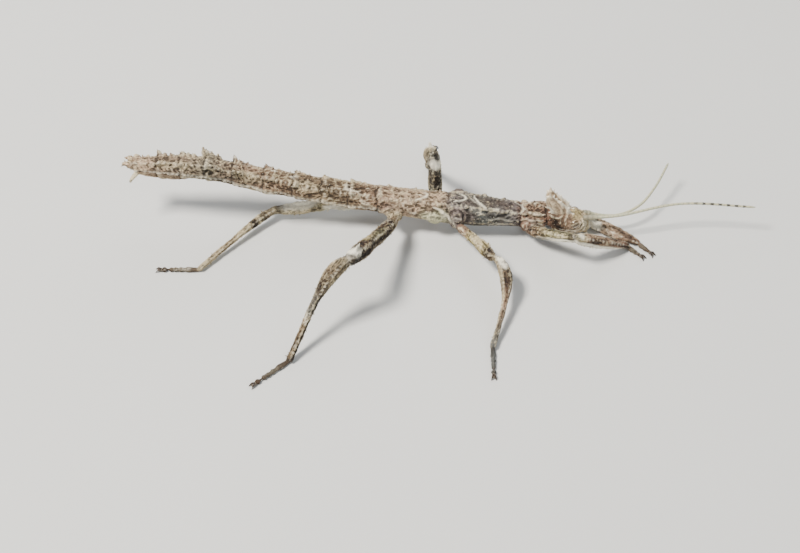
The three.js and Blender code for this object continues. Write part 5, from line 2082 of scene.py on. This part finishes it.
@dataclass
class Feeler:
    """A jointed feeler: a stout first joint, a short second one and a long whip of rings."""

    offset: np.ndarray
    radius: float = 0.26
    tip_radius: float = 0.2
    rings: int = 34
    sides: int = 12
    banding: dict[str, float] = field(default_factory=lambda: {"right": 1.0, "left": 0.15})
    paths: dict[str, tuple[tuple[float, float, float], ...]] = field(default_factory=lambda: {
        "right": ((28.6, -0.66, 4.2), (34.0, -0.3, 4.7), (44.0, 2.0, 5.8), (56.0, 2.2, 5.7)),
        "left": (
            (28.6, 0.66, 4.0), (34.0, 1.0, 3.4), (37.6, 3.1, 3.6), (40.2, 6.9, 4.0), (42.4, 11.6, 5.0),
        ),
    })

    def path(self, side_name: str) -> np.ndarray:
        """Evenly spaced points along the feeler's centre line."""
        points = np.array(self.paths[side_name])
        knots = np.sqrt(np.linalg.norm(np.diff(points, axis=0), axis=1))
        knots = np.concatenate([[0.0], np.cumsum(knots)])
        fine = np.linspace(0.0, knots[-1], 400)
        curve = np.stack([smooth(knots, points[:, axis], fine) for axis in range(3)], axis=1)
        steps = np.concatenate([[0.0], np.cumsum(np.linalg.norm(np.diff(curve, axis=0), axis=1))])
        even = np.linspace(0.0, steps[-1], 120)
        return np.stack([np.interp(even, steps, curve[:, axis]) for axis in range(3)], axis=1)

    def tree(self, material: bpy.types.Material) -> bpy.types.NodeTree:
        """Builds the node tree that turns a line into a jointed feeler.

        Args:
            material: The feeler's finish.

        Returns:
            The tree, whose inputs are the line, the number of rings and two radii.
        """
        bench, (line, rings, radius, tip_radius) = start_tree("feeler", ("Rings", "Radius", "Tip Radius"))
        curve = bench.add("GeometryNodeMeshToCurve", {}, {"Mesh": line})
        curve = bench.add("GeometryNodeResampleCurve", {}, {"Curve": curve, "Count": self.rings * 9})
        along = bench.add("GeometryNodeSplineParameter", {}, {}, output="Factor")
        joint = bench.add("ShaderNodeMath", {"operation": "FRACT"}, {0: along * rings})
        swell = 1.0 + 0.16 * joint.between(0.1, 0.8) - 0.3 * joint.between(0.84, 0.97)
        swell = swell + 0.14 * (1.0 - joint.between(0.0, 0.14)) - 0.14
        first = 1.0 + 0.75 * (1.0 - along.between(0.05, 0.085))
        second = 0.18 * (1.0 - along.between(0.1, 0.13))
        end = 1.0 - 0.6 * along.between(0.975, 1.0)
        width = (radius + (tip_radius - radius) * along) * swell * (first + second) * end
        for name, value in (("along", along), ("ring", joint.between(0.84, 0.95))):
            curve = bench.add(
                "GeometryNodeStoreNamedAttribute", {"data_type": "FLOAT", "domain": "POINT"},
                {"Geometry": curve, "Name": name, "Value": value},
            )
        curve = bench.add("GeometryNodeSetCurveRadius", {}, {"Curve": curve, "Radius": width})
        section = bench.add("GeometryNodeCurvePrimitiveCircle", {}, {"Resolution": self.sides, "Radius": 1.0})
        tube = bench.add(
            "GeometryNodeCurveToMesh", {},
            {"Curve": curve, "Profile Curve": section, "Scale": width, "Fill Caps": True},
        )
        end_tree(bench, tube, material)
        return bench.tree

    def build(self, side_name: str, material: bpy.types.Material) -> bpy.types.Object:
        """Builds one feeler.

        Args:
            side_name: left or right.
            material: Its finish.

        Returns:
            The piece.
        """
        points = (self.path(side_name) + self.offset) * MM
        line = bpy.data.meshes.new("feeler_line")
        line.from_pydata(points.tolist(), [(index, index + 1) for index in range(len(points) - 1)], [])
        sizes = {"Rings": float(self.rings), "Radius": self.radius * MM, "Tip Radius": self.tip_radius * MM}
        mesh = grown(line, self.tree(material), sizes)
        add_attribute(mesh, "banded", np.full(len(mesh.vertices), self.banding[side_name]))
        feeler = show(f"feeler_{side_name}", mesh)
        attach(feeler, BODY)
        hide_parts(f"antenna_{side_name}")
        return feeler


@dataclass
class Claws:
    """Two curved claws and the pad between them at the end of one foot."""

    offset: np.ndarray
    length: float = 1.0
    spread: float = 26.0
    radius: float = 0.22

    def build(self, leg: Leg, trunk: Trunk, material: bpy.types.Material) -> bpy.types.Object:
        """Builds the claws of one leg.

        Args:
            leg: The leg.
            trunk: The body that the leg grows from.
            material: The claws' finish.

        Returns:
            The piece.
        """
        *_, foot = leg.limbs(trunk)
        clay = Clay()
        root = leg.foot + 0.2
        for side in SIDES.values():
            turn = math.radians(self.spread) * side
            share = np.linspace(0.0, 1.0, 16)
            reach = self.length * (share - 0.06 * share**2) * 1.08
            rise = 0.34 * np.sin(np.pi * share**0.9) * (1 - share * 0.4) - 0.3 * share
            aside = reach * np.sin(turn * (1.1 - 0.25 * share))
            centres = np.stack([root + reach * math.cos(turn), aside, rise], axis=1)
            width = self.radius * (1.0 - share**1.4) + 0.05
            rings = hoops(centres, LEFT, UP, width * 0.8, width, 14)
            clay.add(foot.on_floor(rings))
        ends = [(root - 0.15, 0.0, 0.0), (root + 0.62, 0.0, -0.1)]
        pad = foot.on_floor(taper(*ends, 0.3, 0.22, rings=10, sides=16))
        clay.add(pad)
        mesh = clay.mesh(f"claw_pair_{leg.name}")
        pad_points = pad.shape[0] * pad.shape[1]
        add_attribute(mesh, "pale", (np.arange(clay.count) >= clay.count - pad_points).astype(float))
        mesh.transform(matrix_of(self.offset))
        mesh.shade_smooth()
        mesh.materials.append(material)
        claws = show(f"claw_pair_{leg.name}", mesh)
        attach(claws, BODY)
        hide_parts(f"claws_{leg.name}")
        return claws


def matrix_of(offset: np.ndarray) -> Matrix:
    """Moves plan points in millimetres to model points in metres."""
    return Matrix.Scale(MM, 4) @ Matrix.Translation(Vector(offset))


@dataclass
class Cercus:
    """One of the two short points beside the tail."""

    offset: np.ndarray
    grain: float = 0.07
    relief: float = 0.03
    bloom: float = 0.25

    def build(self, side_name: str, material: bpy.types.Material) -> bpy.types.Object:
        """Builds one cercus.

        Args:
            side_name: left or right.
            material: Its finish.

        Returns:
            The piece.
        """
        side = SIDES[side_name]
        clay = Clay()
        ends = [(-42.7, side * 0.95, 9.8), (-43.9, side * 1.95, 8.45)]
        clay.add(taper(*ends, 0.42, 0.2, curl=(-0.12, 0, 0), rings=16, sides=20))
        surface = clay.fused(f"cercus_{side_name}", self.grain)
        edges = surface.edges()
        surface.relax(1, edges)
        net = bark(surface.points, 0.3, 301)
        surface.points += surface.normals() * (self.relief * net)[:, None]
        count = len(surface.points)
        piece = surface.to_object(f"tail_point_{side_name}", self.offset, {
            "ground": np.tile(Tint.CREAM.linear, (count, 1)), "relief": 0.5 + 0.4 * net,
            "pale": np.full(count, self.bloom), "dusk": np.zeros(count),
        })
        piece.data.materials.append(material)
        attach(piece, BODY)
        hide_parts(f"cercus_{side_name}")
        return piece


# ---- Studio ----


@dataclass(frozen=True)
class Studio:
    """A pale floor, soft light and the camera."""

    azimuth: float = 4.0
    elevation: float = 50.0
    distance: float = 0.3
    lens: float = 85.0
    target: tuple[float, float, float] = (0.0, -11.42, 0.0)
    floor_half: float = 1.5

    def build(self, offset: np.ndarray) -> None:
        """Lays the floor, hangs the lights and sets the camera."""
        self.lay_floor()
        self.hang_light("key", (-0.34, -0.1, 0.62), size=0.16, power=11.0, colour=(1.0, 0.96, 0.9))
        self.hang_light("fill", (0.5, -0.5, 0.45), size=0.7, power=2.4, colour=(0.9, 0.95, 1.0))
        self.hang_light("back", (0.1, 0.6, 0.5), size=0.5, power=2.6, colour=(0.96, 0.98, 1.0))
        world = bpy.data.worlds.new("soft_room")
        world.use_nodes = True
        sky = world.node_tree.nodes["Background"]
        sky.inputs["Color"].default_value = (0.9, 0.92, 0.95, 1.0)
        sky.inputs["Strength"].default_value = 0.34
        bpy.context.scene.world = world
        self.set_camera(offset)

    def lay_floor(self) -> None:
        """Lays a large pale floor at no height."""
        mesh = bpy.data.meshes.new("floor")
        half = self.floor_half
        corners = [(-half, -half, 0), (half, -half, 0), (half, half, 0), (-half, half, 0)]
        mesh.from_pydata(corners, [], [(0, 1, 2, 3)])
        mesh.materials.append(FloorFinish().make())
        show("floor", mesh)

    def hang_light(
        self, name: str, place: tuple[float, float, float], size: float, power: float,
        colour: tuple[float, float, float],
    ) -> None:
        """Hangs a square soft light that faces the insect.

        Args:
            name: The light's name.
            place: Where it hangs, in metres.
            size: Its width in metres.
            power: Its power in watts.
            colour: Its colour as linear light.
        """
        light = bpy.data.lights.new(name, "AREA")
        light.size = size
        light.energy = power
        light.color = colour
        lamp = bpy.data.objects.new(name, light)
        bpy.context.scene.collection.objects.link(lamp)
        lamp.location = place
        lamp.rotation_euler = Vector(place).to_track_quat("Z", "Y").to_euler()

    def set_camera(self, offset: np.ndarray) -> None:
        """Sets the camera on its sphere round the target."""
        azimuth, elevation = math.radians(self.azimuth), math.radians(self.elevation)
        back = Vector((
            math.sin(azimuth) * math.cos(elevation), -math.cos(azimuth) * math.cos(elevation),
            math.sin(elevation),
        ))
        target = Vector((np.array(self.target) + np.array([offset[0], offset[1], 0.0])) * MM)
        view = bpy.data.cameras.new("camera")
        view.lens = self.lens
        view.clip_start = 0.01
        camera = bpy.data.objects.new("camera", view)
        bpy.context.scene.collection.objects.link(camera)
        camera.location = target + back * self.distance
        camera.rotation_euler = back.to_track_quat("Z", "Y").to_euler()
        bpy.context.scene.camera = camera


def main() -> None:
    """Builds the insect and its studio, and reports each piece."""
    logging.basicConfig(level=logging.INFO, format="%(message)s")
    offset = plan_offset()
    Studio().build(offset)
    bark_finish = BarkFinish().make()
    horn, eye, feeler, claw = (
        finish.make() for finish in (HornFinish(), EyeFinish(), FeelerFinish(), ClawFinish())
    )
    skin = Skin(offset)
    body = skin.build()
    body.data.materials.append(bark_finish)
    pieces = [body]
    granules = Sprinkle("granules", "grain", 3.2e6, size=0.1, height=1.0, pale=0.2, seed=5)
    pieces.append(granules.build(body, False, bark_finish))
    thorns = Sprinkle("thorns", "thorn", 1.8e6, size=0.12, height=3.2, pale=0.1, seed=9, sides=5)
    pieces.append(thorns.build(body, True, bark_finish))
    for side_name in SIDES:
        pieces.append(Crest(offset).build(side_name, horn))
        pieces.append(Eye(offset).build(side_name, eye))
        pieces.append(Feeler(offset).build(side_name, feeler))
        pieces.append(Cercus(offset).build(side_name, bark_finish))
    for leg in LEGS:
        pieces.append(Claws(offset).build(leg, skin.trunk, claw))
    for piece in pieces:
        log.info("%s: %d faces", piece.name, len(piece.data.polygons))


if __name__ == "__main__":
    main()
